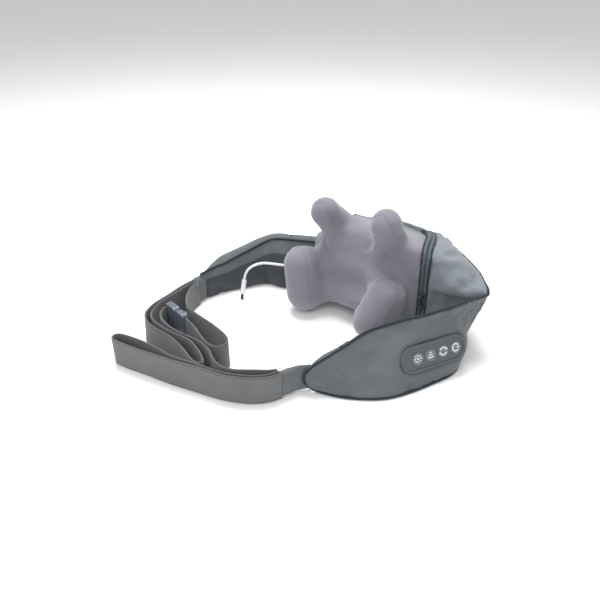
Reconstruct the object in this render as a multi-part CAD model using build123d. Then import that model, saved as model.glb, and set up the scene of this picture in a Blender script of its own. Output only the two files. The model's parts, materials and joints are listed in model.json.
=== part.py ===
from build123d import *
import math
import os

# Shiatsu neck massager: a padded fabric collar that stands on its lower edge, with a drive
# housing at the back, two kneading claws that reach forward from it, a control panel on the
# near wing, webbing hand loops and chest strap, and a short white charge lead.
# Frame: origin on the table under the middle of the housing, +Z up, the claws reach towards -Y,
# the near wing (with the panel) is at +X and the far wing at -X. Millimetres.

# ---- driving dimensions -------------------------------------------------------------------
# housing
HOUSE_NEAR = 66.0        # X of the near side wall's outer face
HOUSE_FAR = 56.0         # and of the far one, on the other side
HOUSE_FRONT = -24.0      # Y of the front wall's outer face
HOUSE_BACK = 40.0        # Y of the rear wall's outer face
HOUSE_SPLIT = 12.0       # Y of the joint between the front and rear shells
HOUSE_Z0 = 14.0
HOUSE_Z1 = 107.0
WALL = 2.5
SCREW_R = 1.8
SCREW_HEAD_R = 3.2
BOSS_R = 4.5

# claw pivots and drive; the windows and shelves of the housing follow the pivots
PIVOT_X = 24.0           # claw pivot and drive wheel centre, each side
PIVOT_Y = -12.0
POST_R = 4.0
HUB_R = 8.0
HUB_Z0 = 60.0
HUB_H = 38.0
SHELF_T = 5.0            # shelves that hold the pivot posts
SHELF_IN = 14.0          # a shelf's edge, from the pivot towards the middle
SHELF_OUT = 16.0         # and away from it
WINDOW_IN = 12.0         # a claw window's edge, from the pivot towards the middle
WINDOW_OUT = 24.0        # and away from it
WINDOW_Z0 = HUB_Z0 - 4.0
WINDOW_Z1 = HUB_Z0 + HUB_H + 6.0
LEVER = 20.0             # pivot to crank pin
SWING = 8.0              # claw swing each way, degrees
WHEEL_Z = 78.0           # height of the drive wheels' axis
WHEEL_T = 8.0
WHEEL_TEETH = 36
TOOTH_DEPTH = 1.4
TOOTH_GAP = 1.1
SHAFT_R = 1.6
WORM_R = 4.6
MOTOR_R = 15.5
MOTOR_H = 38.0
MOTOR_Z0 = 17.0
AXLE_R = 3.0
CRANK_R = 2.0
PIN_GAP = 0.9             # from the lever's end to the crank pin, so the corners swing clear
CELL_R = 8.4
CELL_H = 64.0
BOARD_T = 1.6
RUN = 0.06               # radial running clearance of a shaft in its hole
GAP = 0.4                # clearance between pieces that pass each other
SEAT = 0.3               # clearance between pieces that only lie side by side

# claws
KNOB_R = 19.0            # upper fingertip, over its cover
LOBE_R = 25.0            # lower fingers, over their cover
HEAD_R = 12.5            # massage head inside the upper fingertip
PAD_R = 14.0             # massage head inside the lower fingers
COVER_BACK = -33.0       # Y where the claw covers end and the palm cover begins
PALM_NEAR = 92.0         # reach of the palm cover towards the zipper
PALM_FAR = 60.0          # and towards the far wing
PALM_Z0 = 14.0
PALM_Z1 = HOUSE_Z1 + 5.0

# collar
RIM_T = 8.0              # thickness of the collar's upper edge
NEAR_FOOT = 8.0          # how much thicker the near wing is at its lower edge
FAR_FOOT = 12.0          # and the far one
COVER_TOP = HOUSE_Z1 + 12.0        # highest point of the padded back
PANEL_L = 88.0
PANEL_W = 31.0
PANEL_T = 4.0
PANEL_SINK = 2.0
BUTTON_R = 7.2
BUTTON_TRAVEL = 0.8
WELL_GAP = 0.3           # radial gap between a button and its well
BUTTON_WEB = 2.4         # panel left between one well and the next
BUTTON_PITCH = 2 * (BUTTON_R + WELL_GAP) + BUTTON_WEB
BUTTON_SHIFT = 4.0       # buttons sit this far towards the back of the collar

# webbing and lead
WEB_W = 36.0             # webbing width
WEB_T = 2.4              # webbing thickness
LEAD_R = 1.75
JACK_R = 3.2
JACK_TIP_R = 2.0
JACK_L = 20.0
JACK_TIP_L = 7.0

NEAR, FAR = 1, -1
SIDE_NAME = {NEAR: "near", FAR: "far"}

os.makedirs("parts", exist_ok=True)


def save(shape, node):
    shape.label = node
    export_step(shape, f"parts/{node}.step")


def block(x0, x1, y0, y1, z0, z1):
    """A box between two corners."""
    size = Box(x1 - x0, y1 - y0, z1 - z0)
    return Pos((x0 + x1) / 2, (y0 + y1) / 2, (z0 + z1) / 2) * size


def rod(start, end, radius):
    """A round bar from one point to another."""
    a, b = Vector(*start), Vector(*end)
    middle = Plane(origin=(a + b) * 0.5, z_dir=b - a)
    return middle * Cylinder(radius, (b - a).length)


def capsule(start, end, radius):
    """A round bar with domed ends."""
    return rod(start, end, radius) + Pos(*start) * Sphere(radius) + Pos(*end) * Sphere(radius)


def mirrored(shape, side):
    return shape if side == NEAR else mirror(shape, about=Plane.YZ)


# ---- collar: soft solids --------------------------------------------------------------------
# Each wing station is (upper edge point, lower edge point); the pad lies inside that face.
NEAR_WING = [
    ((171, -8, 80), (164, -8, 0)),
    ((161, -32, 80), (168, -40, 0)),
    ((151, -61, 80), (170, -68, 0)),
    ((135, -93, 78), (160, -104, 0)),
    ((120, -110, 74), (149, -134, 0)),
    ((105, -126, 68), (136, -158, 0)),
    ((92, -143, 62), (117, -176, 0)),
    ((84, -168, 54), (96, -189, 0)),
    ((75, -190, 46), (77, -197, 2)),
    ((64, -205, 36), (60, -202, 4)),
]
FAR_WING = [
    ((-84, 0, 77), (-86, -12, 0)),
    ((-123, -15, 75), (-122, -28, 0)),
    ((-148, -24, 72), (-147, -36, 0)),
    ((-163, -38, 66), (-162, -47, 0)),
    ((-174, -62, 58), (-173, -68, 0)),
    ((-184, -90, 50), (-182, -89, 0)),
    ((-187, -115, 45), (-188, -114, 0)),
    ((-184, -139, 40), (-190, -132, 2)),
]
# Upper rim round the back of the collar, near corner to far corner (x, y, z).
REAR_RIM = [(171, -8, 80), (141, 22, 90), (108, 38, 98), (76, 52, 101), (40, 62, 104), (0, 66, 106),
            (-40, 60, 103), (-66, 47, 95), (-84, 24, 84), (-88, -4, 77)]


def inward(stations, index, side):
    """Level unit vector from a station's outer face into its pad."""
    first = stations[max(index - 1, 0)][1]
    last = stations[min(index + 1, len(stations) - 1)][1]
    along = Vector(last[0] - first[0], last[1] - first[1], 0).normalized()
    return Vector(along.Y, -along.X, 0) * side


def wing(stations, side, foot):
    """A padded wing: thin along its upper edge, `foot` thicker at its lower edge."""
    sections = []
    for index, (top, low) in enumerate(stations):
        into = inward(stations, index, side)
        top, low = Vector(*top), Vector(*low)
        lean = max((top - low).dot(into), 0)
        corners = [top, low, low + into * (lean + foot), top + into * RIM_T]
        sections.append(Face(Wire.make_polygon(corners)))
    return loft(sections, ruled=True)


def rear_cover():
    """Padded shell round the back and sides of the housing, with its upper face sloping out."""
    outline = [(x, y) for x, y, z in REAR_RIM]
    front = HOUSE_FRONT - 2
    outline = [(outline[0][0] - SEAT - 1, front)] + outline[:-1] + [(outline[-1][0] + SEAT + 1, front)]
    cover = extrude(make_face(Polyline(*outline, close=True)), COVER_TOP)
    roofs = [
        Plane(origin=(PALM_NEAR, 0, COVER_TOP - 2), z_dir=(0.47, 0, 1)),
        Plane(origin=(108, 38, COVER_TOP - 21), z_dir=(0.5, 0.5, 1)),
        Plane(origin=(0, 12, COVER_TOP - 1), z_dir=(0.06, 0.24, 1)),
        Plane(origin=(-HOUSE_FAR - 2, 0, COVER_TOP - 11), z_dir=(-1.1, 0, 1)),
        Plane(origin=(171, -8, 80), z_dir=(0.95, 0, -0.30)),
    ]
    for roof in roofs:
        cover = split(cover, bisect_by=roof, keep=Keep.BOTTOM)
    cavity = block(-HOUSE_FAR - SEAT, HOUSE_NEAR + SEAT, front - 1, HOUSE_BACK + SEAT,
                   HOUSE_Z0 - SEAT, HOUSE_Z1 + SEAT)
    return cover - cavity


def palm_cover():
    """Stretch cover between and behind the claws, closing the front of the collar."""
    sheet = block(-PALM_FAR, PALM_NEAR, COVER_BACK + 2.0, HOUSE_FRONT - 2 - SEAT, PALM_Z0, PALM_Z1)
    ridge = block(-12, 12, -52, COVER_BACK + 2.0, PALM_Z0 + 4, 96)
    cover = sheet + ridge
    for side in (NEAR, FAR):
        near_edge, far_edge = PIVOT_X - WINDOW_IN + 2, PIVOT_X + WINDOW_OUT + 2
        window = block(near_edge, far_edge, HOUSE_FRONT - 36, 0, WINDOW_Z0 - 2, PALM_Z1 + 1)
        cover -= mirrored(window, side)
    return cover


# ---- housing and drive ------------------------------------------------------------------------
WHEEL_FRONT = PIVOT_Y + LEVER + 6.0
WHEEL_BACK = WHEEL_FRONT + WHEEL_T
WORM_Y = WHEEL_FRONT + WHEEL_T / 2
WHEEL_R = PIVOT_X - WORM_R - GAP
CRANK_THROW = LEVER * math.sin(math.radians(SWING))
LEVER_END = WHEEL_FRONT - 3.0
BOSS_IN = 6.4            # boss centre from the side wall's outer face
BOSSES = [(x, z) for x in (BOSS_IN - HOUSE_FAR, HOUSE_NEAR - BOSS_IN)
          for z in (HOUSE_Z0 + 8, HOUSE_Z1 - 8)]


def shell_block(y0, y1, inset):
    return block(-HOUSE_FAR + inset, HOUSE_NEAR - inset, y0, y1, HOUSE_Z0 + inset, HOUSE_Z1 - inset)


def housing_front():
    """Front shell with a window for each claw and two shelves that hold the pivot posts."""
    shell = shell_block(HOUSE_FRONT, HOUSE_SPLIT, 0) - shell_block(HOUSE_FRONT + WALL, HOUSE_SPLIT + 1, WALL)
    for side in (NEAR, FAR):
        window = block(PIVOT_X - WINDOW_IN, PIVOT_X + WINDOW_OUT,
                       HOUSE_FRONT - 1, HOUSE_FRONT + WALL + 1, WINDOW_Z0, WINDOW_Z1)
        shell -= mirrored(window, side)
        for z in (HUB_Z0 - GAP - SHELF_T, HUB_Z0 + HUB_H + GAP):
            shelf = block(PIVOT_X - SHELF_IN, PIVOT_X + SHELF_OUT, HOUSE_FRONT + WALL, PIVOT_Y + HUB_R,
                          z, z + SHELF_T)
            shell += mirrored(shelf, side)
        z0 = HUB_Z0 - GAP - SHELF_T
        bore = rod((PIVOT_X, PIVOT_Y, z0), (PIVOT_X, PIVOT_Y, HUB_Z0 + HUB_H + GAP + SHELF_T), POST_R)
        shell -= mirrored(bore, side)
    for x, z in BOSSES:
        shell += rod((x, HOUSE_FRONT + WALL, z), (x, HOUSE_SPLIT, z), BOSS_R)
        shell -= rod((x, HOUSE_FRONT + WALL + 4, z), (x, HOUSE_SPLIT, z), SCREW_R)
    return shell


def housing_rear():
    """Rear shell with the screw bosses and the axle bosses of the two drive wheels."""
    shell = shell_block(HOUSE_SPLIT, HOUSE_BACK, 0) - shell_block(HOUSE_SPLIT - 1, HOUSE_BACK - WALL, WALL)
    for x, z in BOSSES:
        shell += rod((x, HOUSE_SPLIT, z), (x, HOUSE_BACK - WALL, z), BOSS_R)
        shell -= rod((x, HOUSE_SPLIT, z), (x, HOUSE_BACK, z), SCREW_R)
        shell -= rod((x, HOUSE_BACK - 2, z), (x, HOUSE_BACK, z), SCREW_HEAD_R)
    for side in (NEAR, FAR):
        x = side * PIVOT_X
        shell += rod((x, WHEEL_BACK + GAP, WHEEL_Z), (x, HOUSE_BACK - WALL, WHEEL_Z), 7.0)
        shell -= rod((x, WHEEL_BACK + GAP, WHEEL_Z), (x, HOUSE_BACK - WALL, WHEEL_Z), AXLE_R)
    return shell


def housing_screws():
    """Four self-tapping screws, driven from the back."""
    screws = []
    for x, z in BOSSES:
        shank = rod((x, HOUSE_FRONT + WALL + 6, z), (x, HOUSE_BACK - 2, z), SCREW_R)
        head = rod((x, HOUSE_BACK - 2, z), (x, HOUSE_BACK - 0.2, z), SCREW_HEAD_R)
        screws.append(shank + head)
    return Compound(children=screws)


def pivot_post(side):
    z0 = HUB_Z0 - GAP - SHELF_T
    z1 = HUB_Z0 + HUB_H + GAP + SHELF_T
    return mirrored(rod((PIVOT_X, PIVOT_Y, z0), (PIVOT_X, PIVOT_Y, z1), POST_R), side)


def wheel_axle(side):
    x = side * PIVOT_X
    return rod((x, WHEEL_FRONT + 2.5, WHEEL_Z), (x, HOUSE_BACK - WALL, WHEEL_Z), AXLE_R)


def worm_wheel(side):
    """Toothed wheel on a blind bore; its plain front face carries the crank pin."""
    x = side * PIVOT_X
    wheel = rod((x, WHEEL_FRONT, WHEEL_Z), (x, WHEEL_BACK, WHEEL_Z), WHEEL_R)
    notch = block(-TOOTH_GAP / 2, TOOTH_GAP / 2, WHEEL_FRONT - 1, WHEEL_BACK + 1,
                  WHEEL_R - TOOTH_DEPTH, WHEEL_R + 1)
    for index in range(WHEEL_TEETH):
        turn = Rot(0, 360 * index / WHEEL_TEETH, 0)
        wheel -= Pos(x, 0, WHEEL_Z) * turn * notch
    wheel -= rod((x, WHEEL_FRONT + 2.4, WHEEL_Z), (x, WHEEL_BACK, WHEEL_Z), AXLE_R + RUN)
    z = WHEEL_Z + CRANK_THROW
    wheel -= rod((x, WHEEL_FRONT, z), (x, WHEEL_FRONT + 2.0, z), CRANK_R)
    return wheel


def crank_pin(side):
    x, z = side * PIVOT_X, WHEEL_Z + CRANK_THROW
    return rod((x, LEVER_END + PIN_GAP, z), (x, WHEEL_FRONT + 2.0, z), CRANK_R)


MOTOR_TOP = MOTOR_Z0 + MOTOR_H


def motor_can():
    """Plain motor can with a neck for its shaft."""
    can = rod((0, WORM_Y, MOTOR_Z0), (0, WORM_Y, MOTOR_TOP), MOTOR_R)
    can = fillet(can.edges().filter_by(GeomType.CIRCLE), 1.5)
    return can - rod((0, WORM_Y, MOTOR_TOP - 20), (0, WORM_Y, MOTOR_TOP), SHAFT_R + RUN)


def motor_shaft():
    return rod((0, WORM_Y, MOTOR_TOP - 19.5), (0, WORM_Y, WHEEL_Z + 18), SHAFT_R)


def worm():
    """Ribbed sleeve on the motor shaft, standing for the worm's thread."""
    z0, z1 = WHEEL_Z - 14, WHEEL_Z + 14
    sleeve = rod((0, WORM_Y, z0), (0, WORM_Y, z1), WORM_R - 1.2)
    pitch = 3.0
    for index in range(int((z1 - z0) / pitch)):
        z = z0 + pitch * index
        sleeve += rod((0, WORM_Y, z + 0.6), (0, WORM_Y, z + 2.0), WORM_R)
    return sleeve - rod((0, WORM_Y, z0), (0, WORM_Y, z1), SHAFT_R)


def motor_bracket():
    """Saddle that clamps the motor can to the rear shell's floor."""
    plate = block(-20, 20, WORM_Y - 15, HOUSE_BACK - WALL, HOUSE_Z0 + WALL, MOTOR_Z0 + 12)
    return plate - rod((0, WORM_Y, HOUSE_Z0), (0, WORM_Y, MOTOR_Z0 + 14), MOTOR_R)


def battery_pack():
    """Wrapped cell that stands at the near end of the housing."""
    x = HOUSE_NEAR - WALL - CELL_R - GAP
    return rod((x, 26, 28), (x, 26, 28 + CELL_H), CELL_R)


def main_board():
    """Control board on edge at the far end, with its connector block."""
    x = GAP + WALL - HOUSE_FAR
    board = block(x, x + BOARD_T, 0, HOUSE_BACK - WALL - 2, 29, 89)
    return board + block(x + BOARD_T, x + BOARD_T + 5, 8, 20, 34, 46)


# ---- claws ----------------------------------------------------------------------------------
NECK_Z0, NECK_Z1 = 62.0, 88.0
KNOB = (46, -42, 140)
KNOB_ROOT = (44, -36, 112)
LOBE_TOP = (64, -66, 68)
LOBE_LOW = (57, -66, 28)
LOBE_ROOT = (46, -40, 72)
PAD_TOP = (61, -59, 54)      # the lower massage head, inside the lobe
PAD_LOW = (57, -67, 29)


def claw_outer():
    """Outer shape of one claw's cover: a thumb above and a broad pair of fingers below."""
    shape = capsule(KNOB_ROOT, KNOB, KNOB_R)
    shape += capsule(LOBE_TOP, LOBE_LOW, LOBE_R)
    shape += capsule(LOBE_ROOT, KNOB_ROOT, 14.0)
    front = Pos(-PIVOT_X, -PIVOT_Y, 0) * block(-200, 200, -200, COVER_BACK, -50, 250)
    for turn in (-SWING - 1, 0, SWING + 1):
        shape &= Pos(PIVOT_X, PIVOT_Y, 0) * Rot(0, 0, turn) * front
    return shape


def claw_cover():
    """Stretch cover and foam of one claw, round its arm and massage heads."""
    return claw_outer() - claw_arm() - upper_head() - lower_head()


def upper_head():
    return Pos(*KNOB) * Sphere(HEAD_R)


def lower_head():
    return capsule(PAD_TOP, PAD_LOW, PAD_R)


def claw_arm():
    """Rigid arm: hub on the pivot post, rear lever with its slot, and two fingers forward."""
    x, y, z0 = PIVOT_X, PIVOT_Y, HUB_Z0
    arm = rod((x, y, z0), (x, y, z0 + HUB_H), HUB_R)
    arm += block(x - 6, x + 6, y, LEVER_END, WHEEL_Z - 9, WHEEL_Z + 9)
    arm += block(x - 6, x + 12, -37, y - 4, NECK_Z0, NECK_Z1)
    thumb, finger = (x + 5, -31, 82), (x + 5, -33, 74)
    arm += rod(thumb, (KNOB[0] - 3, KNOB[1] + 1, KNOB[2] - 6), 6.0)
    arm += rod(finger, (PAD_TOP[0] - 2, PAD_TOP[1] + 3, PAD_TOP[2] + 2), 7.0)
    arm += Pos(*thumb) * Sphere(6.0) + Pos(*finger) * Sphere(7.0)
    arm -= rod((x, y, z0 - 1), (x, y, z0 + HUB_H + 1), POST_R + RUN)
    slot_w = 2 * CRANK_R + 1.6
    slot_h = 2 * (CRANK_R + CRANK_THROW) + 1.0
    arm -= block(x - slot_w / 2, x + slot_w / 2, y + LEVER - 5, LEVER_END + 1,
                 WHEEL_Z - slot_h / 2, WHEEL_Z + slot_h / 2)
    return arm


# ---- control panel ----------------------------------------------------------------------------
PANEL_PLANE = Plane(origin=(153.5, -95, 36), x_dir=(0.40, 0.916, 0), z_dir=(0.871, -0.380, 0.315))


def stadium(length, width, height, lift):
    face = Sketch() + SlotOverall(length, width)
    return PANEL_PLANE * Pos(0, 0, lift) * extrude(face, height)


BUTTONS = ["heat_button", "speed_button", "mode_button", "power_button"]


def button_x(index):
    return BUTTON_SHIFT + (index - 1.5) * BUTTON_PITCH


def control_panel():
    """Rubber-faced panel with a raised rim and a well for each button."""
    body = stadium(PANEL_L, PANEL_W, PANEL_T, -PANEL_SINK)
    body -= stadium(PANEL_L - 6, PANEL_W - 6, PANEL_T, PANEL_T - PANEL_SINK - 1.0)
    for index in range(len(BUTTONS)):
        well = Pos(button_x(index), 0, 0) * Cylinder(BUTTON_R + WELL_GAP, 20)
        body -= PANEL_PLANE * well
    return body


def panel_back():
    """Rigid tray behind the panel that carries the switch board."""
    tray = stadium(PANEL_L - 4, PANEL_W - 4, 3.0, -PANEL_SINK - 3.0)
    return tray - stadium(PANEL_L - 10, PANEL_W - 10, 1.6, -PANEL_SINK - 1.6)


def switch_board():
    return stadium(PANEL_L - 11, PANEL_W - 11, 1.0, -PANEL_SINK - 1.6)


def button(index):
    """Round key that sinks into its well and springs back."""
    top = PANEL_T - PANEL_SINK - 0.4
    base = -PANEL_SINK - 0.6 + BUTTON_TRAVEL + 0.3
    cap = extrude(Sketch() + Circle(BUTTON_R), top - base)
    return PANEL_PLANE * Pos(button_x(index), 0, base) * cap


# ---- zipper -----------------------------------------------------------------------------------
ZIP_X0 = PALM_NEAR + SEAT
ZIP_W = 11.0
ZIP_Z0 = 20.0
ZIP_X = ZIP_X0 + ZIP_W / 2
ZIP_FACE = COVER_BACK + 2.0
SLIDER_Y = ZIP_FACE - GAP
SLIDER_D = 3.4
SLIDER_H = 9.0
PULL_PIN_R = 0.7
PULL_L = 9.0
SLIDERS = {"upper": 62.0, "lower": 49.5}


def zipper_tape():
    """Tape and coil beside the near claw, between the stretch cover and the side panel."""
    tape = block(ZIP_X0, ZIP_X0 + ZIP_W, ZIP_FACE, HOUSE_FRONT - 2 - SEAT, ZIP_Z0, PALM_Z1)
    groove = block(ZIP_X - 0.5, ZIP_X + 0.5, ZIP_FACE - 1, ZIP_FACE + 0.8, ZIP_Z0, PALM_Z1)
    return tape - groove


def pull_axis(z):
    return SLIDER_Y - SLIDER_D - 1.3, z + 1.0


def zipper_slider(z):
    """Slider body with two ears and the pin that its pull hangs on."""
    body = block(ZIP_X - 3.6, ZIP_X + 3.6, SLIDER_Y - SLIDER_D, SLIDER_Y, z - SLIDER_H / 2, z + SLIDER_H / 2)
    body = fillet(body.edges().filter_by(Axis.Y), 2.0)
    y, pin_z = pull_axis(z)
    for edge in (-2.6, 1.7):
        body += block(ZIP_X + edge, ZIP_X + edge + 0.9, y - 0.9, SLIDER_Y - SLIDER_D, pin_z - 1.2, pin_z + 1.2)
    return body + rod((ZIP_X - 2.6, y, pin_z), (ZIP_X + 2.6, y, pin_z), PULL_PIN_R)


def zipper_pull(z):
    y, pin_z = pull_axis(z)
    tab = block(ZIP_X - 1.4, ZIP_X + 1.4, y - 0.6, y + 0.6, pin_z - PULL_L, pin_z)
    tab += rod((ZIP_X - 1.4, y, pin_z), (ZIP_X + 1.4, y, pin_z), 1.2)
    return tab - rod((ZIP_X - 2, y, pin_z), (ZIP_X + 2, y, pin_z), PULL_PIN_R + RUN)


# ---- webbing ------------------------------------------------------------------------------------
# Each run is a smooth path in plan; the webbing stands on its edge along it.
NEAR_LOOP_FRONT = [(46, -232), (39, -248), (24, -263), (0, -275.5), (-32, -284), (-66, -293),
                   (-100, -300), (-128, -306), (-149, -309)]
NEAR_LOOP_BACK = [(-149.5, -305.5), (-154, -301), (-146, -295), (-124, -290.5), (-98, -289), (-68, -288),
                  (-34, -280), (-3, -271.5), (20, -260), (35, -246), (42.3, -231.5)]
CHEST_NEAR = [(38.5, -230.5), (31, -239), (17, -250), (3, -261), (-9, -266), (-22, -265), (-34, -259.5),
              (-47, -252), (-70, -246.5), (-98, -248.5), (-122, -248), (-140, -243.5), (-152, -236),
              (-158, -227), (-159.5, -221)]
CHEST_FAR_FRONT = [(-117.5, -223.5), (-94, -230), (-63, -242), (-50, -243.5), (-42, -238)]
CHEST_FAR_BACK = [(-41, -235.5), (-41.5, -227), (-55, -218), (-79, -212), (-107, -209.5), (-130, -206),
                  (-150, -196), (-166, -178), (-175, -160), (-178, -149.5)]
FAR_LOOP_OUTER = [(-186.8, -149.5), (-185.5, -172), (-182, -196), (-178, -224), (-170, -244), (-160, -254),
                  (-145, -260), (-125, -262), (-100, -263), (-76, -268), (-54, -276.5), (-43, -279),
                  (-36, -276.5)]
FAR_LOOP_INNER = [(-35, -274), (-37, -269.5), (-45, -264.5), (-58, -258.5), (-77, -253), (-98, -254.5),
                  (-125, -254.5), (-145, -251.5), (-158, -245), (-167, -232), (-173, -216), (-177, -196),
                  (-180.5, -172), (-182.6, -149.5)]
NEAR_END = [(43, -229), (47, -219), (51, -211), (56, -206.5)]
FAR_END = [(-184.6, -146.5), (-185.6, -144), (-186.6, -141.5)]


def ribbon(points, thickness=WEB_T, z0=0.0, width=WEB_W):
    """Webbing that stands on its edge along a smooth path in plan."""
    path = Spline(*[Vector(x, y) for x, y in points])
    count = 5 * (len(points) - 1)
    left, right = [], []
    for index in range(count + 1):
        at = path.position_at(index / count)
        along = path.tangent_at(index / count)
        side = Vector(-along.Y, along.X) * (thickness / 2)
        left.append(at + side)
        right.append(at - side)
    face = make_face(Polyline(*left, *reversed(right), close=True))
    return Pos(0, 0, z0) * extrude(face, width)


BUCKLE = Plane(origin=(-139, -219.5, 0), x_dir=(0.985, -0.17, 0), z_dir=(0, 0, 1))


def buckle_socket():
    """Female half of a side-release buckle, standing on edge with its webbing."""
    body = Box(24, 9, WEB_W + 4, align=(Align.MAX, Align.CENTER, Align.MIN))
    body = fillet(body.edges().filter_by(Axis.Y), 5.0)
    mouth = Pos(0, 0, 5) * Box(16, 5.4, WEB_W - 6, align=(Align.MAX, Align.CENTER, Align.MIN))
    return BUCKLE * (body - mouth)


def buckle_plug():
    """Male half: a bar for the webbing and two prongs inside the socket."""
    body = Pos(0.4, 0, 1) * Box(18, 8, WEB_W + 2, align=(Align.MIN, Align.CENTER, Align.MIN))
    body = fillet(body.edges().filter_by(Axis.Y), 4.0)
    for z in (8, WEB_W - 9):
        body += Pos(0.4, 0, z) * Box(14, 3.4, 5, align=(Align.MAX, Align.CENTER, Align.MIN))
    return BUCKLE * body


# ---- charge lead ----------------------------------------------------------------------------------
LEAD_EXIT = (-98, HOUSE_FRONT - 2 - SEAT, 42)
LEAD_ROUTE = [(-98, -37, 42.5), (-103, -50, 45.5), (-116, -62.5, 49), (-131, -72.5, 50), (-141.5, -82.5, 45),
              (-146.2, -90.5, 36), (-145.4, -93.6, 26.8)]


def lead_gland():
    """Moulded strain relief where the lead leaves the collar."""
    start = Vector(*LEAD_EXIT)
    end = Vector(*LEAD_ROUTE[0])
    return rod(start, end, 3.2)


def lead_radii():
    """Largest bend radius that each corner's two runs allow."""
    points = [Vector(*p) for p in LEAD_ROUTE]
    radii = []
    for before, at, after in zip(points, points[1:], points[2:]):
        turn = math.radians((at - before).get_angle(after - at))
        shorter = min((at - before).length, (after - at).length)
        radii.append(0.45 * shorter / math.tan(turn / 2))
    return radii


def charge_lead():
    path = FilletPolyline(*LEAD_ROUTE, radius=lead_radii())
    start = Plane(origin=path @ 0, z_dir=path % 0)
    return sweep(start * Circle(LEAD_R), path=path), path.length


def jack_points():
    """Top of the jack, its shoulder and its tip, leaning down to the table."""
    top = Vector(*LEAD_ROUTE[-1])
    lean = (top - Vector(*LEAD_ROUTE[-2])).normalized()
    return top, top + lean * JACK_L, top + lean * (JACK_L + JACK_TIP_L)


def main():
    panel_hollow = stadium(PANEL_L, PANEL_W, 20, -PANEL_SINK)
    panel_hollow += stadium(PANEL_L - 4, PANEL_W - 4, 4, -PANEL_SINK - 3)
    near_wing = wing(NEAR_WING, NEAR, NEAR_FOOT)
    far_wing = wing(FAR_WING, FAR, FAR_FOOT)
    save(near_wing - panel_hollow, "near_wing_pad")
    save(far_wing, "far_wing_pad")
    save(rear_cover() - near_wing - far_wing, "rear_cover")
    save(palm_cover(), "palm_cover")
    save(zipper_tape(), "zipper_tape")
    save(housing_front(), "housing_front")
    save(housing_rear(), "housing_rear")
    save(housing_screws(), "housing_screws")
    save(motor_can(), "motor_can")
    save(motor_bracket(), "motor_bracket")
    save(motor_shaft(), "motor_shaft")
    save(worm(), "worm")
    save(battery_pack(), "battery_pack")
    save(main_board(), "main_board")
    for side in (NEAR, FAR):
        name = SIDE_NAME[side]
        save(pivot_post(side), f"{name}_pivot_post")
        save(wheel_axle(side), f"{name}_wheel_axle")
        save(worm_wheel(side), f"{name}_worm_wheel")
        save(crank_pin(side), f"{name}_crank_pin")
        save(mirrored(claw_arm(), side), f"{name}_claw_arm")
        save(mirrored(upper_head() - claw_arm(), side), f"{name}_upper_head")
        save(mirrored(lower_head() - claw_arm(), side), f"{name}_lower_head")
        save(mirrored(claw_cover(), side), f"{name}_claw_cover")
    save(control_panel(), "control_panel")
    save(panel_back(), "panel_back")
    save(switch_board(), "switch_board")
    for index, name in enumerate(BUTTONS):
        save(button(index), name)
    for name, z in SLIDERS.items():
        save(zipper_slider(z), f"{name}_zipper_slider")
        save(zipper_pull(z), f"{name}_zipper_pull")
    save(ribbon(NEAR_LOOP_FRONT), "near_loop_front")
    save(ribbon(NEAR_LOOP_BACK), "near_loop_back")
    save(ribbon(FAR_LOOP_OUTER), "far_loop_outer")
    save(ribbon(FAR_LOOP_INNER), "far_loop_inner")
    save(ribbon(CHEST_NEAR), "chest_strap_near")
    save(ribbon(CHEST_FAR_FRONT), "chest_strap_far_front")
    save(ribbon(CHEST_FAR_BACK), "chest_strap_far_back")
    save(ribbon(NEAR_END, thickness=10.0, z0=1.0, width=30.0), "near_strap_end")
    save(ribbon(FAR_END, thickness=10.0, z0=1.0, width=34.0), "far_strap_end")
    save(buckle_socket(), "buckle_socket")
    save(buckle_plug(), "buckle_plug")
    lead, lead_length = charge_lead()
    save(lead, "charge_lead")
    save(lead_gland() - lead, "lead_gland")
    top, shoulder, tip = jack_points()
    save(rod(top, shoulder, JACK_R), "jack_body")
    save(rod(shoulder, tip, JACK_TIP_R), "jack_tip")
    print("lead length", round(lead_length, 1), "radii", [round(r, 1) for r in lead_radii()])
    print("lead volume over section times length", round(lead.volume / (math.pi * LEAD_R ** 2 * lead_length), 4))
    print("jack tip z", round(tip.Z, 2))


main()
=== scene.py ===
# %% [markdown]
# # A cordless neck massager in Blender
# The real object is a padded collar: a plastic drive housing sits in the back, two kneading claws
# reach out of it under a stretch cover, and two quilted wings run forward to webbing hand loops.
# The mechanical pieces come ready made from the CAD model, in metres, in their final places.
# This lesson adds what CAD does badly: fabric, seams, webbing, thread, a lead and the finishes.

# %% Load the CAD model and keep its size
import json
import math

import bpy
import numpy as np
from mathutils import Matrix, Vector


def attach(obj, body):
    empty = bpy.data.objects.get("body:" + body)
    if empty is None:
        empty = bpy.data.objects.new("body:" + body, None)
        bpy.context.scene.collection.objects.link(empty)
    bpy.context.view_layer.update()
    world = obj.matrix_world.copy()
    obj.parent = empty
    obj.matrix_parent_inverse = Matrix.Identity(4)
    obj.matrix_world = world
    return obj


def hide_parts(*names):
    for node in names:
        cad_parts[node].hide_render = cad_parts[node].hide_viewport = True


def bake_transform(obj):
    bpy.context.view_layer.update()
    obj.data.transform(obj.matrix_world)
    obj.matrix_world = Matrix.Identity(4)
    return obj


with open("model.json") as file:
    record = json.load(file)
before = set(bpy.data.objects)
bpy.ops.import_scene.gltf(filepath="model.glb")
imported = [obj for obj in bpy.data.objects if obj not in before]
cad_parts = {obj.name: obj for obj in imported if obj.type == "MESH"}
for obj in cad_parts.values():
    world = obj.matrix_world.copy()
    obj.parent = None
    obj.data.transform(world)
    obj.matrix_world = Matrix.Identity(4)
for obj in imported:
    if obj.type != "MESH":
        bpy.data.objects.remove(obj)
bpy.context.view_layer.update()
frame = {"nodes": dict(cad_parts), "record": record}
nodes = frame["nodes"]
print("CAD nodes:", len(nodes))

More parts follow.
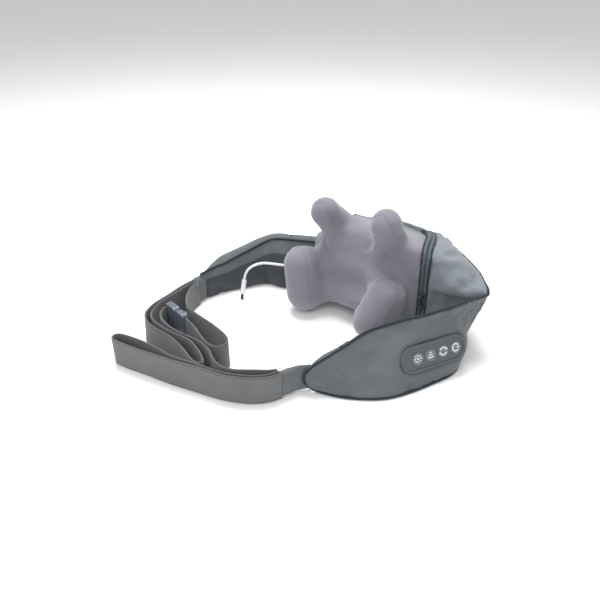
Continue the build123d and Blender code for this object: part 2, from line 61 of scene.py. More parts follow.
# %% [markdown]
# ## The camera
# A catalogue view is usually taken with a mild telephoto lens from above the table. The camera is
# made first, so that every later choice can be judged through it. A 39 mm lens on a 36 mm sensor,
# 30 degrees above the table and 40 degrees round from the front, shows the panel and both claws.

# %% Camera
MM = 0.001


def m(point):
    """A point in millimetres as a Blender vector in metres."""
    return Vector([float(value) * MM for value in point])


camera_data = bpy.data.cameras.new("camera")
camera_data.lens = 39
camera_data.sensor_width = 36
camera = bpy.data.objects.new("camera", camera_data)
camera.location = m((427, -655, 455))
camera.rotation_euler = (math.radians(60), 0, math.radians(40))
bpy.context.scene.collection.objects.link(camera)
bpy.context.scene.camera = camera

# %% [markdown]
# ## The charge lead
# A short round lead leaves the far wing through a moulded strain relief, rises in a stiff arch and
# hangs down to the table, where it ends in a barrel jack. A curve with a round bevel is the natural
# way: a NURBS spline of low order stays close to its control points and bends evenly between them.

# %% Charge lead
LEAD_ROUTE = [(-98, -37, 42.5), (-103, -50, 45.5), (-116, -62.5, 49), (-131, -72.5, 50), (-141.5, -82.5, 45),
              (-146.2, -90.5, 36), (-145.4, -93.6, 26.8)]
LEAD_R = 1.75


def place(name, data):
    """An object for some mesh or curve data, linked to the scene."""
    thing = bpy.data.objects.new(name, data)
    bpy.context.scene.collection.objects.link(thing)
    return thing


lead_data = bpy.data.curves.new("charge_lead_cord", "CURVE")
lead_data.dimensions = "3D"
lead_data.bevel_depth = 1.0        # times each point's own radius
lead_data.bevel_resolution = 4
lead_data.resolution_u = 16
lead_data.use_fill_caps = True
spline = lead_data.splines.new("NURBS")
spline.points.add(len(LEAD_ROUTE) - 1)
for spot, point in zip(spline.points, LEAD_ROUTE):
    spot.co = (*m(point), 1)
    spot.radius = LEAD_R * MM
spline.order_u = 3
spline.use_endpoint_u = True
lead = place("charge_lead_cord", lead_data)
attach(lead, "collar")
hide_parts("charge_lead")

# %% [markdown]
# ## Writing shader maths as Python
# A finish is a graph of nodes, and a graph of nodes is easier to read as an expression. The small
# class below wraps one socket, so that `1 - mask * 0.4` adds the Math nodes that it says. Colours go
# through Mix nodes, since a Math node would turn them grey.


# %% Shader expressions
class Value:
    """What a socket gives, usable in + - and * expressions."""

    def __init__(self, recipe, socket):
        self.recipe = recipe
        self.socket = socket

    def math(self, operation, first, second=0.0):
        return self.recipe.add("ShaderNodeMath", {"operation": operation}, [first, second])

    def __add__(self, other):
        return self.math("ADD", self, other)

    def __sub__(self, other):
        return self.math("SUBTRACT", self, other)

    def __rsub__(self, other):
        return self.math("SUBTRACT", other, self)

    def __mul__(self, other):
        return self.math("MULTIPLY", self, other)

    __radd__ = __add__
    __rmul__ = __mul__


class Recipe:
    """A material under construction, round one Principled shader."""

    def __init__(self, name, **constants):
        self.material = bpy.data.materials.new(name)
        self.material.use_nodes = True
        self.tree = self.material.node_tree
        self.shader = self.tree.nodes["Principled BSDF"]
        for socket, value in constants.items():
            self.shader.inputs[socket.replace("_", " ")].default_value = value

    def add(self, kind, settings, inputs, output=0):
        """A node of one kind, its settings first, then the values or links of its sockets."""
        node = self.tree.nodes.new(kind)
        for key, value in settings.items():
            setattr(node, key, value)
        pairs = inputs.items() if isinstance(inputs, dict) else enumerate(inputs)
        for key, value in pairs:
            if isinstance(value, Value):
                self.tree.links.new(value.socket, node.inputs[key])
            else:
                node.inputs[key].default_value = value
        return Value(self, node.outputs[output])

    def place(self, kind="Object"):
        """Where a point is: in the object's own metres, or UV for the laid-out webbing."""
        return self.add("ShaderNodeTexCoord", {}, {}, kind)

    def noise(self, where, scale, detail=3.0, rough=0.55):
        return self.add("ShaderNodeTexNoise", {}, {"Vector": where, "Scale": scale, "Detail": detail,
                                                   "Roughness": rough}, "Fac")

    def ridges(self, where, scale, direction, bend=0.0):
        """Even rounded ridges across one axis, `scale` of them to 20 / pi metres of cloth."""
        return self.add("ShaderNodeTexWave", {"bands_direction": direction, "wave_profile": "SIN"},
                        {"Vector": where, "Scale": scale, "Distortion": bend, "Detail": 1.0}, "Fac")

    def span(self, value, low, high, to_low=0.0, to_high=1.0):
        """Stretches a value from one range to another, smoothly and clamped at the ends."""
        return self.add("ShaderNodeMapRange", {"interpolation_type": "SMOOTHSTEP"},
                        [value, low, high, to_low, to_high])

    def mix(self, amount, first, second):
        return self.add("ShaderNodeMix", {"data_type": "RGBA"}, {0: amount, 6: first, 7: second}, 2)

    def finish(self, colour=None, rough=None, bump=None, depth=0.0003, strength=0.6):
        """Links what varies into the shader and returns the material."""
        for socket, value in (("Base Color", colour), ("Roughness", rough)):
            if value is not None:
                self.tree.links.new(value.socket, self.shader.inputs[socket])
        if bump is not None:
            normal = self.add("ShaderNodeBump", {}, {"Strength": strength, "Distance": depth,
                                                     "Height": bump}, "Normal")
            self.tree.links.new(normal.socket, self.shader.inputs["Normal"])
        return self.material


def tint(colour, factor):
    """A colour made lighter or darker, with its alpha kept."""
    return tuple(min(channel * factor, 1.0) for channel in colour[:3]) + (1.0,)


# %% [markdown]
# ## Fabric finishes
# The collar is a smooth grey spacer knit with a slight blue cast, the claws wear a brushed mauve
# jersey, and the loops are woven polyester webbing. Knit and jersey get their loops from two fine
# sets of ridges that cross, with slow noise on top for the heather and the handling marks. The
# webbing's ribs have to follow its length, so they are laid out on the strip's own UV map.


# %% Knit, jersey and lining
def knit(name, colour, loops, heather, depth, sheen):
    """Fine knitted cloth; `loops` is its ridge scale and `heather` how mottled its colour is."""
    recipe = Recipe(name, Sheen_Weight=sheen, Sheen_Roughness=0.5, Specular_IOR_Level=0.25)
    where = recipe.place()
    rows = recipe.ridges(where, loops, "Z", 1.2) * 0.5
    rows = rows + recipe.ridges(where, loops * 1.3, "DIAGONAL", 0.8) * 0.5
    slow = recipe.span(recipe.noise(where, 22, 4), 0.3, 0.7)
    fleck = recipe.span(recipe.noise(where, 1500, 2), 0.3, 0.7)
    shade = recipe.mix(slow, tint(colour, 1 - heather), tint(colour, 1 + heather))
    shade = recipe.mix(fleck * 0.35, shade, tint(colour, 0.72))
    # Painted shade: the valleys between the loops, where the bump is low, are darkened in the colour.
    shade = recipe.mix((1 - rows) * 0.22, shade, tint(colour, 0.55))
    return recipe.finish(shade, fleck * 0.1 + 0.82, rows + fleck * 0.5, depth, 0.55)


COLLAR_GREY = (0.114, 0.127, 0.136, 1)
collar_knit = knit("collar knit", COLLAR_GREY, 210, 0.08, 0.0004, 0.25)
# Painted light: the side and back cover wear the collar's own grey knit, drawn about 1.8 times as light for
# the light on the panel's upward face.
side_knit_painted_lighter = knit("side panel knit painted lighter", (0.202, 0.226, 0.252, 1), 210, 0.07, 0.0004, 0.25)
claw_jersey = knit("claw jersey", (0.216, 0.212, 0.252, 1), 260, 0.06, 0.00025, 0.4)
lining_knit = knit("wing lining", (0.054, 0.060, 0.065, 1), 210, 0.10, 0.0004, 0.2)
piping_cloth = knit("piping", (0.020, 0.030, 0.040, 1), 420, 0.15, 0.0002, 0.1)
thread = knit("stitch thread", (0.085, 0.090, 0.105, 1), 700, 0.05, 0.0001, 0.2)


# %% Webbing and zip tape
def webbing_finish(name, colour, ribs, edge):
    """Woven strip: ribs along it, a darker selvedge and a row of stitches near each edge."""
    recipe = Recipe(name, Sheen_Weight=0.25, Sheen_Roughness=0.5, Specular_IOR_Level=0.3)
    where = recipe.place("UV")
    along = recipe.ridges(where, ribs, "X")
    across = recipe.ridges(where, ribs * 0.8, "Y")
    height = recipe.add("ShaderNodeSeparateXYZ", {}, {"Vector": where}, "Y")
    middle = height.math("ABSOLUTE", height - edge)
    selvedge = recipe.span(middle, edge - 0.0030, edge - 0.0012)
    seam = recipe.span(middle, edge - 0.0056, edge - 0.0050)
    seam = seam * recipe.span(middle, edge - 0.0050, edge - 0.0044, 1, 0)
    dash = recipe.span(recipe.ridges(where, 78, "X"), 0.25, 0.45)
    slow = recipe.span(recipe.noise(recipe.place(), 30, 4), 0.3, 0.7)
    shade = recipe.mix(slow, tint(colour, 0.90), tint(colour, 1.08))
    # Painted shade: the weave is darkened where its ribs are low, in the gaps between them.
    shade = recipe.mix((1 - along * across) * 0.30, shade, tint(colour, 0.60))
    shade = recipe.mix(selvedge * 0.35, shade, tint(colour, 0.62))
    shade = recipe.mix(seam * dash * 0.5, shade, tint(colour, 1.6))
    weave = along * across + slow * 0.2 - selvedge * 0.5 + seam * dash * 0.8
    return recipe.finish(shade, slow * 0.08 + 0.80, weave, 0.0004, 0.6)


WEB_W = 36.0
webbing_cloth = webbing_finish("webbing", (0.134, 0.137, 0.141, 1), 420, WEB_W / 2 * MM)
zip_cloth = webbing_finish("zip tape", (0.100, 0.118, 0.145, 1), 520, 5.5 * MM)


# %% [markdown]
# ## Moulded and metal finishes
# Moulded plastic is never quite even: a spark-eroded mould leaves a fine grain, and handling
# polishes the edges. Noise at two sizes gives both. Metal keeps its turning or rolling marks.

# %% Plastics, rubber and metal
def moulded(name, colour, rough, grain, **constants):
    """Plastic or rubber from a grained mould, a little uneven in gloss."""
    recipe = Recipe(name, **constants)
    where = recipe.place()
    fine = recipe.noise(where, grain, 2)
    slow = recipe.span(recipe.noise(where, 45, 3), 0.3, 0.7)
    shade = recipe.mix(slow * 0.5, tint(colour, 0.9), tint(colour, 1.12))
    return recipe.finish(shade, slow * 0.12 + fine * 0.1 + (rough - 0.1), fine, 0.00012, 0.35)


def metal(name, colour, rough, direction):
    """Turned or rolled metal with fine marks across one axis."""
    recipe = Recipe(name, Metallic=1.0)
    where = recipe.place()
    marks = recipe.ridges(where, 700, direction, 2.0)
    slow = recipe.noise(where, 60, 4)
    shade = recipe.mix(slow, tint(colour, 0.85), tint(colour, 1.1))
    return recipe.finish(shade, marks * 0.12 + slow * 0.15 + rough, marks, 0.00005, 0.3)


shell_plastic = moulded("shell plastic", (0.035, 0.036, 0.038, 1), 0.55, 2200)
gear_plastic = moulded("gear acetal", (0.62, 0.60, 0.53, 1), 0.40, 1500)
arm_plastic = moulded("arm nylon", (0.05, 0.05, 0.055, 1), 0.50, 1200)
head_foam = moulded("head foam", (0.12, 0.12, 0.125, 1), 0.85, 900)
cell_wrap = moulded("cell wrap", (0.02, 0.10, 0.30, 1), 0.30, 600, Coat_Weight=0.4)
board_mask = moulded("board", (0.010, 0.085, 0.030, 1), 0.40, 1800)
panel_rubber = moulded("panel rubber", (0.080, 0.091, 0.098, 1), 0.62, 2600)
button_rubber = moulded("button rubber", (0.150, 0.165, 0.175, 1), 0.58, 2600)
icon_print = moulded("icon print", (0.80, 0.82, 0.84, 1), 0.50, 1800)
buckle_plastic = moulded("buckle plastic", (0.110, 0.135, 0.165, 1), 0.36, 1600, Coat_Weight=0.25)
lead_white = moulded("lead white", (0.74, 0.75, 0.77, 1), 0.42, 1400)
jack_black = moulded("jack tip", (0.020, 0.020, 0.022, 1), 0.35, 1500)
steel = metal("turned steel", (0.55, 0.55, 0.56, 1), 0.22, "Z")
motor_steel = metal("motor steel", (0.45, 0.46, 0.47, 1), 0.30, "X")
slider_metal = moulded("slider enamel", (0.030, 0.042, 0.060, 1), 0.38, 1200, Coat_Weight=0.3)

SLOT_FINISH = {
    "shell_plastic": shell_plastic, "gear_plastic": gear_plastic, "arm_plastic": arm_plastic,
    "head_foam": head_foam, "steel": steel, "motor_steel": motor_steel, "cell_wrap": cell_wrap,
    "board": board_mask, "panel_rubber": panel_rubber, "button_rubber": button_rubber,
    "buckle_plastic": buckle_plastic, "lead_white": lead_white, "jack_black": jack_black,
    "slider_metal": slider_metal, "collar_fabric": collar_knit, "stretch_fabric": claw_jersey,
    "webbing": webbing_cloth, "zip_tape": zip_cloth,
}
for part in frame["record"]["subparts"]:
    data = nodes[part["node"]].data
    data.materials.clear()
    data.materials.append(SLOT_FINISH[part["material_slot"]])
lead.data.materials.append(lead_white)

# %% [markdown]
# ## Meshes from rows of points
# Most sewn pieces are a grid of points bent into shape: a pillow has a grid for its face and one for
# its back, and a strap is a long ring. One helper turns a closed grid of rings into a mesh with
# capped ends and lays it out flat on a UV map, in metres, so that a weave keeps its real size.


# %% Mesh helpers
def spread(points, per):
    """A Catmull-Rom curve with `per` steps between neighbours, so that several curves stay in step."""
    known = np.array(points, float)
    padded = np.vstack([2 * known[0] - known[1], known, 2 * known[-1] - known[-2]])
    out = []
    for index in range(len(known) - 1):
        p0, p1, p2, p3 = padded[index:index + 4]
        for step in np.linspace(0, 1, per, endpoint=False):
            out.append(0.5 * (2 * p1 + (p2 - p0) * step + (2 * p0 - 5 * p1 + 4 * p2 - p3) * step ** 2
                              + (3 * p1 - p0 - 3 * p2 + p3) * step ** 3))
    out.append(known[-1])
    return np.array(out)


def smooth_line(points, count):
    """The same kind of curve, as `count` evenly spaced points."""
    return even(spread(points, 24), count)


def even(line, count):
    """The same line, as `count` points the same distance apart."""
    steps = np.linalg.norm(np.diff(line, axis=0), axis=1)
    reach = np.concatenate([[0], np.cumsum(steps)])
    wanted = np.linspace(0, reach[-1], count)
    return np.stack([np.interp(wanted, reach, line[:, axis]) for axis in range(line.shape[1])], axis=1)


def unit(vectors):
    """Vectors of length one."""
    vectors = np.asarray(vectors, float)
    return vectors / np.maximum(np.linalg.norm(vectors, axis=-1, keepdims=True), 1e-9)


def mesh_piece(name, points, faces, finish, uvs=None, smooth=True):
    """A mesh object from points in millimetres; uvs is one pair per face corner."""
    data = bpy.data.meshes.new(name)
    data.from_pydata((np.asarray(points, float) * MM).tolist(), [], [list(face) for face in faces])
    if uvs is not None:
        data.uv_layers.new(name="cloth").data.foreach_set("uv", np.asarray(uvs, np.float32).ravel())
    data.polygons.foreach_set("use_smooth", [smooth] * len(data.polygons))
    data.materials.append(finish)
    data.update()
    return place(name, data)


def ring_grid(name, rings, finish, cap=True):
    """A closed skin over rings of equal length: rings[row][column] = (x, y, z) in millimetres."""
    rings = np.asarray(rings, float)
    rows, columns = rings.shape[:2]
    points = rings.reshape(-1, 3)
    gaps = np.linalg.norm(np.diff(rings, axis=0), axis=2).mean(axis=1)
    down = np.concatenate([[0], np.cumsum(gaps)]) * MM
    around = np.linalg.norm(np.roll(rings, -1, axis=1) - rings, axis=2).mean(axis=0)
    across = np.concatenate([[0], np.cumsum(around)]) * MM
    faces, uvs = [], []
    for row in range(rows - 1):
        for column in range(columns):
            after = (column + 1) % columns
            faces.append((row * columns + column, row * columns + after,
                          (row + 1) * columns + after, (row + 1) * columns + column))
            uvs += [(down[row], across[column]), (down[row], across[column + 1]),
                    (down[row + 1], across[column + 1]), (down[row + 1], across[column])]
    if cap:
        for row, order in ((0, -1), (rows - 1, 1)):
            middle = len(points)
            points = np.vstack([points, rings[row].mean(axis=0)])
            for column in range(columns):
                pair = (row * columns + column, row * columns + (column + 1) % columns)[::order]
                faces.append((*pair, middle))
                uvs += [(down[row], 0), (down[row], 0), (down[row], 0)]
    return mesh_piece(name, points, faces, finish, uvs)


def tube(name, line, radius, finish, sides=10, closed=False):
    """A round cord along a line, for piping, thread and teeth."""
    line = np.asarray(line, float)
    along = unit(np.gradient(line, axis=0))
    if closed:
        along = unit(np.roll(line, -1, axis=0) - np.roll(line, 1, axis=0))
    side = unit(np.cross(along, [0, 0, 1]) + 1e-6)
    up = np.cross(side, along)
    angles = np.linspace(0, 2 * math.pi, sides, endpoint=False)
    rings = [[point + radius * (math.cos(a) * s + math.sin(a) * u) for a in angles]
             for point, s, u in zip(line, side, up)]
    if closed:
        rings.append(rings[0])
    return ring_grid(name, rings, finish, cap=not closed)


# %% [markdown]
# ## The stretch cover over claws and palm
# On the real collar one tailored jersey skin runs over the foam of both claws and the palm between
# them, pulled tight across every hollow. Sculpting or a stack of metaballs could make it. Here the
# shape is written as distances: each foam piece is a capsule or a rounded block, and a soft minimum
# of their distances joins them as stretched cloth would. A surface net then turns it into a mesh.

# %% Distances to the foam pieces
STEP = 2.0                # size of one cell in millimetres
low_corner = np.array([-98.0, -98.0, 2.0])
counts = (99, 84, 86)
axes = [low_corner[i] + STEP * np.arange(counts[i]) for i in range(3)]
X, Y, Z = np.meshgrid(*axes, indexing="ij")


def capsule(start, end, r_start, r_end):
    """Distance from every cell to a bar with round ends whose radius may taper."""
    start, end = np.array(start, float), np.array(end, float)
    axis = end - start
    offsets = [grid - origin for grid, origin in zip((X, Y, Z), start)]
    share = sum(offset * step for offset, step in zip(offsets, axis)) / max(axis @ axis, 1e-9)
    share = np.clip(share, 0, 1)
    squares = sum((offset - share * step) ** 2 for offset, step in zip(offsets, axis))
    return np.sqrt(squares) - (r_start + (r_end - r_start) * share)


def rounded_block(low, high, radius):
    """Distance from every cell to a block with rounded edges."""
    middle = (np.array(low, float) + np.array(high, float)) / 2
    half = (np.array(high, float) - np.array(low, float)) / 2 - radius
    gaps = [np.abs(grid - c) - h for grid, c, h in zip((X, Y, Z), middle, half)]
    outside = np.sqrt(sum(np.maximum(gap, 0) ** 2 for gap in gaps))
    return outside + np.minimum(np.maximum(np.maximum(gaps[0], gaps[1]), gaps[2]), 0) - radius


def soft_min(first, second, reach):
    """The smaller of two distances, rounded over where they are about equal."""
    share = np.clip(0.5 + 0.5 * (second - first) / reach, 0, 1)
    return second * (1 - share) + first * share - reach * share * (1 - share)


def carve(solid, tool, reach):
    """A solid with a tool's shape taken out of it, with a soft lip."""
    return -soft_min(-solid, tool, reach)


def slope(point, normal):
    """Distance above a plane through a point."""
    normal = unit(normal)
    return sum((grid - origin) * step for grid, origin, step in zip((X, Y, Z), point, normal))


torso = rounded_block((-62, -30, 10), (97, 64, 121), 8)
# Plan of the collar's rim, as a reach from the middle for each direction.
RIM_PLAN = [(171, -8), (141, 22), (108, 38), (76, 52), (40, 62), (0, 66), (-40, 60), (-66, 47),
            (-84, 24), (-88, -4)]
rim_turns = [math.atan2(y, x) if x > 0 or y > 0 else math.atan2(y, x) + 2 * math.pi for x, y in RIM_PLAN]
turns = np.where(np.arctan2(Y, X) < -1.6, np.arctan2(Y, X) + 2 * math.pi, np.arctan2(Y, X))
back_curve = np.hypot(X, Y) - np.interp(turns, rim_turns, [math.hypot(x, y) for x, y in RIM_PLAN]) + 3
for tool in (slope((0, 4, 119), (0, 0.34, 1)), slope((97, -28, 0), (1, 0.47, 0)), back_curve,
             slope((-30, 0, 117), (-0.14, 0.05, 1)), slope((-63, -20, 0), (-1, 0.02, 0))):
    torso = -soft_min(-torso, -tool, 9)
skin = torso
THUMBS = {1: ((46, -41, 146), 19.0, (20, 6, 96), 18), -1: ((-46, -41, 138), 19.0, (-16, 8, 88), 16)}
FINGERS = {1: ((62, -56, 58), (55, -71, 29), 23.5, 25), -1: ((-64, -65, 67), (-57, -66, 28), 24.5, 25.5)}
for side in (1, -1):
    tip, r_tip, ridge, r_ridge = THUMBS[side]
    top, low, r_top, r_low = FINGERS[side]
    thumb = soft_min(capsule((side * 40, -10, 102), tip, 19, r_tip),
                     capsule(ridge, (side * 42, -24, 121), r_ridge, 17), 10)
    fingers = capsule(top, low, r_top, r_low)
    hollow = capsule((side * 50, -28, 66), (side * 50, -34, 34), 22, 27)
    skin = soft_min(skin, soft_min(fingers, hollow, 14), 12)
    skin = soft_min(skin, thumb, 10)
skin = soft_min(skin, capsule((-44, -34, 33), (44, -34, 33), 21, 21), 12)
skin = soft_min(skin, capsule((-26, -24, 72), (26, -24, 72), 23, 23), 16)
skin = soft_min(skin, capsule((-26, -15, 98), (26, -15, 98), 20, 20), 16)
for side in (1, -1):
    grip = capsule((side * 100, -56, 108), (side * 36, -69, 105), 14, 9)
    skin = carve(skin, grip, 5)
    # Foam sleeves over the arm's two bars, thick enough for the bars to swing inside.
    sleeve = capsule((side * 30, -31, 84), (side * 42, -40, 132), 8.6, 9)
    skin = soft_min(skin, sleeve, 6)
    skin = soft_min(skin, capsule((side * 29, -33, 74), (side * 52, -50, 60), 12.5, 11), 6)
print("skin cells inside:", int((skin < 0).sum()))


# %% Surface net
def surface_net(field):
    """Quads round the zero level of a field: one point in each cell that the level crosses."""
    corners = [(a, b, c) for a in (0, 1) for b in (0, 1) for c in (0, 1)]
    shape = [count - 1 for count in field.shape]
    cut = [slice(None, -1), slice(1, None)]
    values = np.stack([field[cut[a], cut[b], cut[c]] for a, b, c in corners], axis=-1)
    crossed = (values.min(axis=-1) < 0) & (values.max(axis=-1) >= 0)
    total = np.zeros((*shape, 3))
    number = np.zeros(shape)
    for first in range(8):
        for second in range(first + 1, 8):
            p, q = np.array(corners[first]), np.array(corners[second])
            if np.abs(p - q).sum() != 1:
                continue
            u, v = values[..., first], values[..., second]
            hit = (u < 0) != (v < 0)
            share = np.where(hit, u / np.where(hit, u - v, 1), 0)
            total += np.where(hit[..., None], p + share[..., None] * (q - p), 0)
            number += hit
    cells = np.argwhere(crossed)
    index = -np.ones(shape, int)
    index[crossed] = np.arange(len(cells))
    points = low_corner + STEP * (cells + total[crossed] / number[crossed][:, None])
    faces = []
    for axis in range(3):
        one, two = [other for other in range(3) if other != axis]
        here = [slice(1, -1)] * 3
        here[axis] = slice(0, -1)
        there = list(here)
        there[axis] = slice(1, None)
        inside = field[tuple(here)] < 0
        change = inside != (field[tuple(there)] < 0)
        for spot in np.argwhere(change):
            base = spot + 1
            base[axis] = spot[axis]
            around = []
            for back_one, back_two in ((0, 0), (1, 0), (1, 1), (0, 1)):
                cell = base.copy()
                cell[one] -= back_one
                cell[two] -= back_two
                around.append(index[tuple(cell)])
            if inside[tuple(spot)] == (axis == 1):
                around.reverse()
            faces.append(around)
    return points, np.array(faces)


skin_points, skin_faces = surface_net(skin)
print("skin mesh:", len(skin_points), "points,", len(skin_faces), "faces")


# %% [markdown]
# The net is even but slightly stepped, so a few rounds of averaging take the steps out. The cloth
# also shows soft tension folds where it is pulled from claw to palm: they are shallow ripples that
# fan out from each hollow, pushed in along the surface's own direction. The back of the skin is
# cut away behind the side panels, where it would never be seen.

# %% Relax the skin and add tension folds
def neighbour_mean(points, faces):
    """Average of each point's neighbours over the edges of the faces."""
    total, number = np.zeros_like(points), np.zeros(len(points))
    for a, b in ((0, 1), (1, 2), (2, 3), (3, 0)):
        for p, q in ((faces[:, a], faces[:, b]), (faces[:, b], faces[:, a])):
            np.add.at(total, p, points[q])
            np.add.at(number, p, 1)
    return total / np.maximum(number, 1)[:, None]


def point_normals(points, faces):
    """Outward direction at each point of a mesh of quads."""
    across = np.cross(points[faces[:, 2]] - points[faces[:, 0]], points[faces[:, 3]] - points[faces[:, 1]])
    normals = np.zeros_like(points)
    for corner in range(4):
        np.add.at(normals, faces[:, corner], across)
    return unit(normals)


RELAX_ROUNDS, RELAX_SHARE = 6, 0.6
for _ in range(RELAX_ROUNDS):
    skin_points += RELAX_SHARE * (neighbour_mean(skin_points, skin_faces) - skin_points)
normals = point_normals(skin_points, skin_faces)
# Each fold: start, end, half width and depth in millimetres.
TENSION_FOLDS = [
    ((34, -44, 122), (16, -36, 104), 4.0, 0.8), ((62, -48, 104), (72, -58, 88), 5.0, 1.3),
    ((40, -74, 50), (26, -56, 30), 4.5, 1.0), ((68, -38, 112), (84, -34, 92), 5.0, 1.0),
    ((58, -28, 126), (80, -28, 108), 5.0, 1.0), ((20, -56, 46), (2, -54, 40), 5.0, 0.8),
]
for start, end, width, depth in TENSION_FOLDS:
    for side in (-1, 1):
        a, b = np.array(start) * (side, 1, 1), np.array(end) * (side, 1, 1)
        share = np.clip((skin_points - a) @ (b - a) / ((b - a) @ (b - a)), 0, 1)
        away = np.linalg.norm(skin_points - (a + share[:, None] * (b - a)), axis=1)
        amount = np.exp(-(away / width) ** 2) * np.sin(math.pi * np.clip(share * 0.8 + 0.1, 0, 1))
        lip = 0.5 * np.exp(-((away - 2.2 * width) / width) ** 2)
        skin_points -= normals * (depth * (amount - lip * (amount > 0.001)))[:, None]
normals = point_normals(skin_points, skin_faces)


# %% Seams of the fingertips
def laid_on(line, surface, ways, lift=0.0):
    """A line moved onto a surface, given as points and their outward directions, and the ways there."""
    spots = np.array([np.argmin(np.sum((surface - point) ** 2, axis=1)) for point in line])
    out = unit(ways[spots])
    gap = np.sum((line - surface[spots]) * out, axis=1, keepdims=True)
    return line - out * (gap - lift), out


def over_tip(top, low, reach):
    """A line up one side of a fingertip, over its end and down the other side."""
    top, low = np.array(top, float), np.array(low, float)
    side_way, up = np.array([0.84, -0.55, 0]), unit(top - low)
    mirror = np.array([-1, 1, 1])
    arch = [top + reach * (math.cos(a) * side_way * (mirror if math.cos(a) < 0 else 1) * np.sign(math.cos(a))
                           + math.sin(a) * up) for a in np.radians([8, 35, 62, 90, 118, 145, 172])]
    return [low + reach * side_way] + arch + [low + reach * side_way * mirror]


SEAM_DEPTH, SEAM_WIDTH = 0.8, 1.7
seam_lines = {"near": [], "far": []}
for side, name in ((1, "near"), (-1, "far")):
    knob, r_knob = THUMBS[side][:2]
    knob_low = np.array(knob) - (0, -10, 16)
    top, low, r_top, _ = FINGERS[side]
    for ends, reach in (((knob, knob_low), r_knob), ((top, low), r_top)):
        line, _ = laid_on(smooth_line(over_tip(*ends, reach), 90), skin_points, normals)
        seam_lines[name].append(even(line, 60))
for line in seam_lines["near"] + seam_lines["far"]:
    close = np.linalg.norm(skin_points[:, None] - line[None, ::2], axis=2).min(axis=1)
    skin_points -= normals * (SEAM_DEPTH * np.exp(-(close / SEAM_WIDTH) ** 2))[:, None]
normals = point_normals(skin_points, skin_faces)


def half_skin(side):
    """The half of the skin on one side of the middle, cut behind the collar's seam."""
    middle = skin_points[skin_faces].mean(axis=1)
    on_side = middle[:, 0] >= 0 if side > 0 else middle[:, 0] < 0
    keep = on_side & ((middle[:, 1] < 19) | (middle[:, 2] > 92))
    faces = skin_faces[keep]
    used, inverse = np.unique(faces, return_inverse=True)
    name = f"{'near' if side > 0 else 'far'}_claw_skin"
    half = mesh_piece(name, skin_points[used], inverse.reshape(faces.shape), claw_jersey)
    half.data.normals_split_custom_set_from_vertices(normals[used].tolist())
    return half


for side, name in ((1, "near"), (-1, "far")):
    half = half_skin(side)
    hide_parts(f"{name}_claw_cover", *(["palm_cover"] if side > 0 else []))
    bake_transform(half)
    print(half.name, len(half.data.vertices), "points")


# %% [markdown]
# ## The side and back cover
# Behind the claws the collar is a grey quilted shell. Its upper panel runs from the zip and the
# stretch cover out to a corded rim, and its outer wall drops from the rim to the table. Sewn
# panels like these are best lofted: every station gives the panel's inner edge, the rim, and the
# wall's foot, and a row of points runs through them. The panels are then blown up like a cushion.

# %% Loft between sewn edges
def panel_rows(first, second, columns, crown, direction):
    """Points from one edge line to another, crowned by `crown` millimetres along a direction."""
    share = np.linspace(0, 1, columns, endpoint=False)[None, :, None]
    rows = first[:, None] * (1 - share) + second[:, None] * share
    crown = np.reshape(crown, (-1, 1, 1)) if np.ndim(crown) else crown
    return rows + direction[:, None] * crown * np.sin(math.pi * share) ** 0.8


# Inner edge, rim, outer foot and inner foot of each station, near side to far side.
COVER_STATIONS = [
    ((103, -29, 4), (150, -18, 5), (149, -16, 1), (105, -24, 1)),
    ((103, -29, 42), (160, -12, 42), (148, -8, 1), (105, -20, 1)),
    ((103, -29, 84), (171, -8, 80), (147, 0, 1), (104, -10, 1)),
    ((102, -27, 110), (157, 8, 86), (140, 14, 1), (100, 0, 1)),
    ((97, -20, 117), (141, 22, 90), (130, 28, 1), (94, 10, 1)),
    ((89, 2, 118), (108, 38, 98), (102, 42, 1), (80, 20, 1)),
    ((73, 32, 112), (76, 52, 101), (73, 54, 1), (56, 26, 1)),
    ((39, 55, 101), (40, 62, 101), (39, 63, 1), (30, 34, 1)),
    ((0, 59, 98), (0, 66, 100), (0, 67, 1), (0, 40, 1)),
    ((-37, 53, 94), (-40, 60, 97), (-39, 62, 1), (-30, 36, 1)),
    ((-60, 41, 90), (-66, 47, 92), (-64, 50, 1), (-48, 26, 1)),
    ((-72, 18, 86), (-84, 24, 84), (-82, 28, 1), (-54, 8, 1)),
    ((-64, -14, 80), (-88, -4, 77), (-87, -2, 1), (-58, -10, 1)),
    ((-61, -26, 42), (-87, -10, 40), (-87, -8, 1), (-59, -14, 1)),
    ((-60, -27, 5), (-86, -14, 5), (-86, -12, 1), (-60, -18, 1)),
]
inner, rim, foot, heel = [spread(line, 8) for line in zip(*COVER_STATIONS)]
roof_up = unit(np.cross(np.gradient(inner, axis=0) + np.gradient(rim, axis=0), rim - inner))
roof_up *= np.sign(roof_up[:, 2:3] + 0.8 * (roof_up[:, 1:2] < -0.5) * -1 + 1e-6)
outward = unit((rim - inner) * (1, 1, 0))
# The wall is drawn in below the near corner and full round the back.
wall_crown = np.interp(np.arange(len(rim)), [0, 20, 40, len(rim) - 1], [-6, -6, 4, 4])
cover_rings = np.concatenate([
    panel_rows(inner, rim, 18, 6.0, unit(roof_up + (0, 0, 0.2))),
    panel_rows(rim, foot, 16, wall_crown, outward),
    panel_rows(foot, heel, 5, 0.0, outward),
    panel_rows(heel, inner, 6, 0.0, outward)], axis=1)
# The cover wears the lighter copy of the grey knit: painted light on the same cloth as the wings.
cover = ring_grid("side_and_back_cover", cover_rings, side_knit_painted_lighter)
print("cover:", cover_rings.shape)

# %% [markdown]
# ## Blowing up the padding
# Blender's Cloth can stand in for the wadding: the sewn edges are pinned, the air inside is given a
# little pressure, and twenty steps are enough for the panels to swell and to pucker at the seams.
# A limit on how far any point may go keeps the pads within the space that the CAD model gives them.


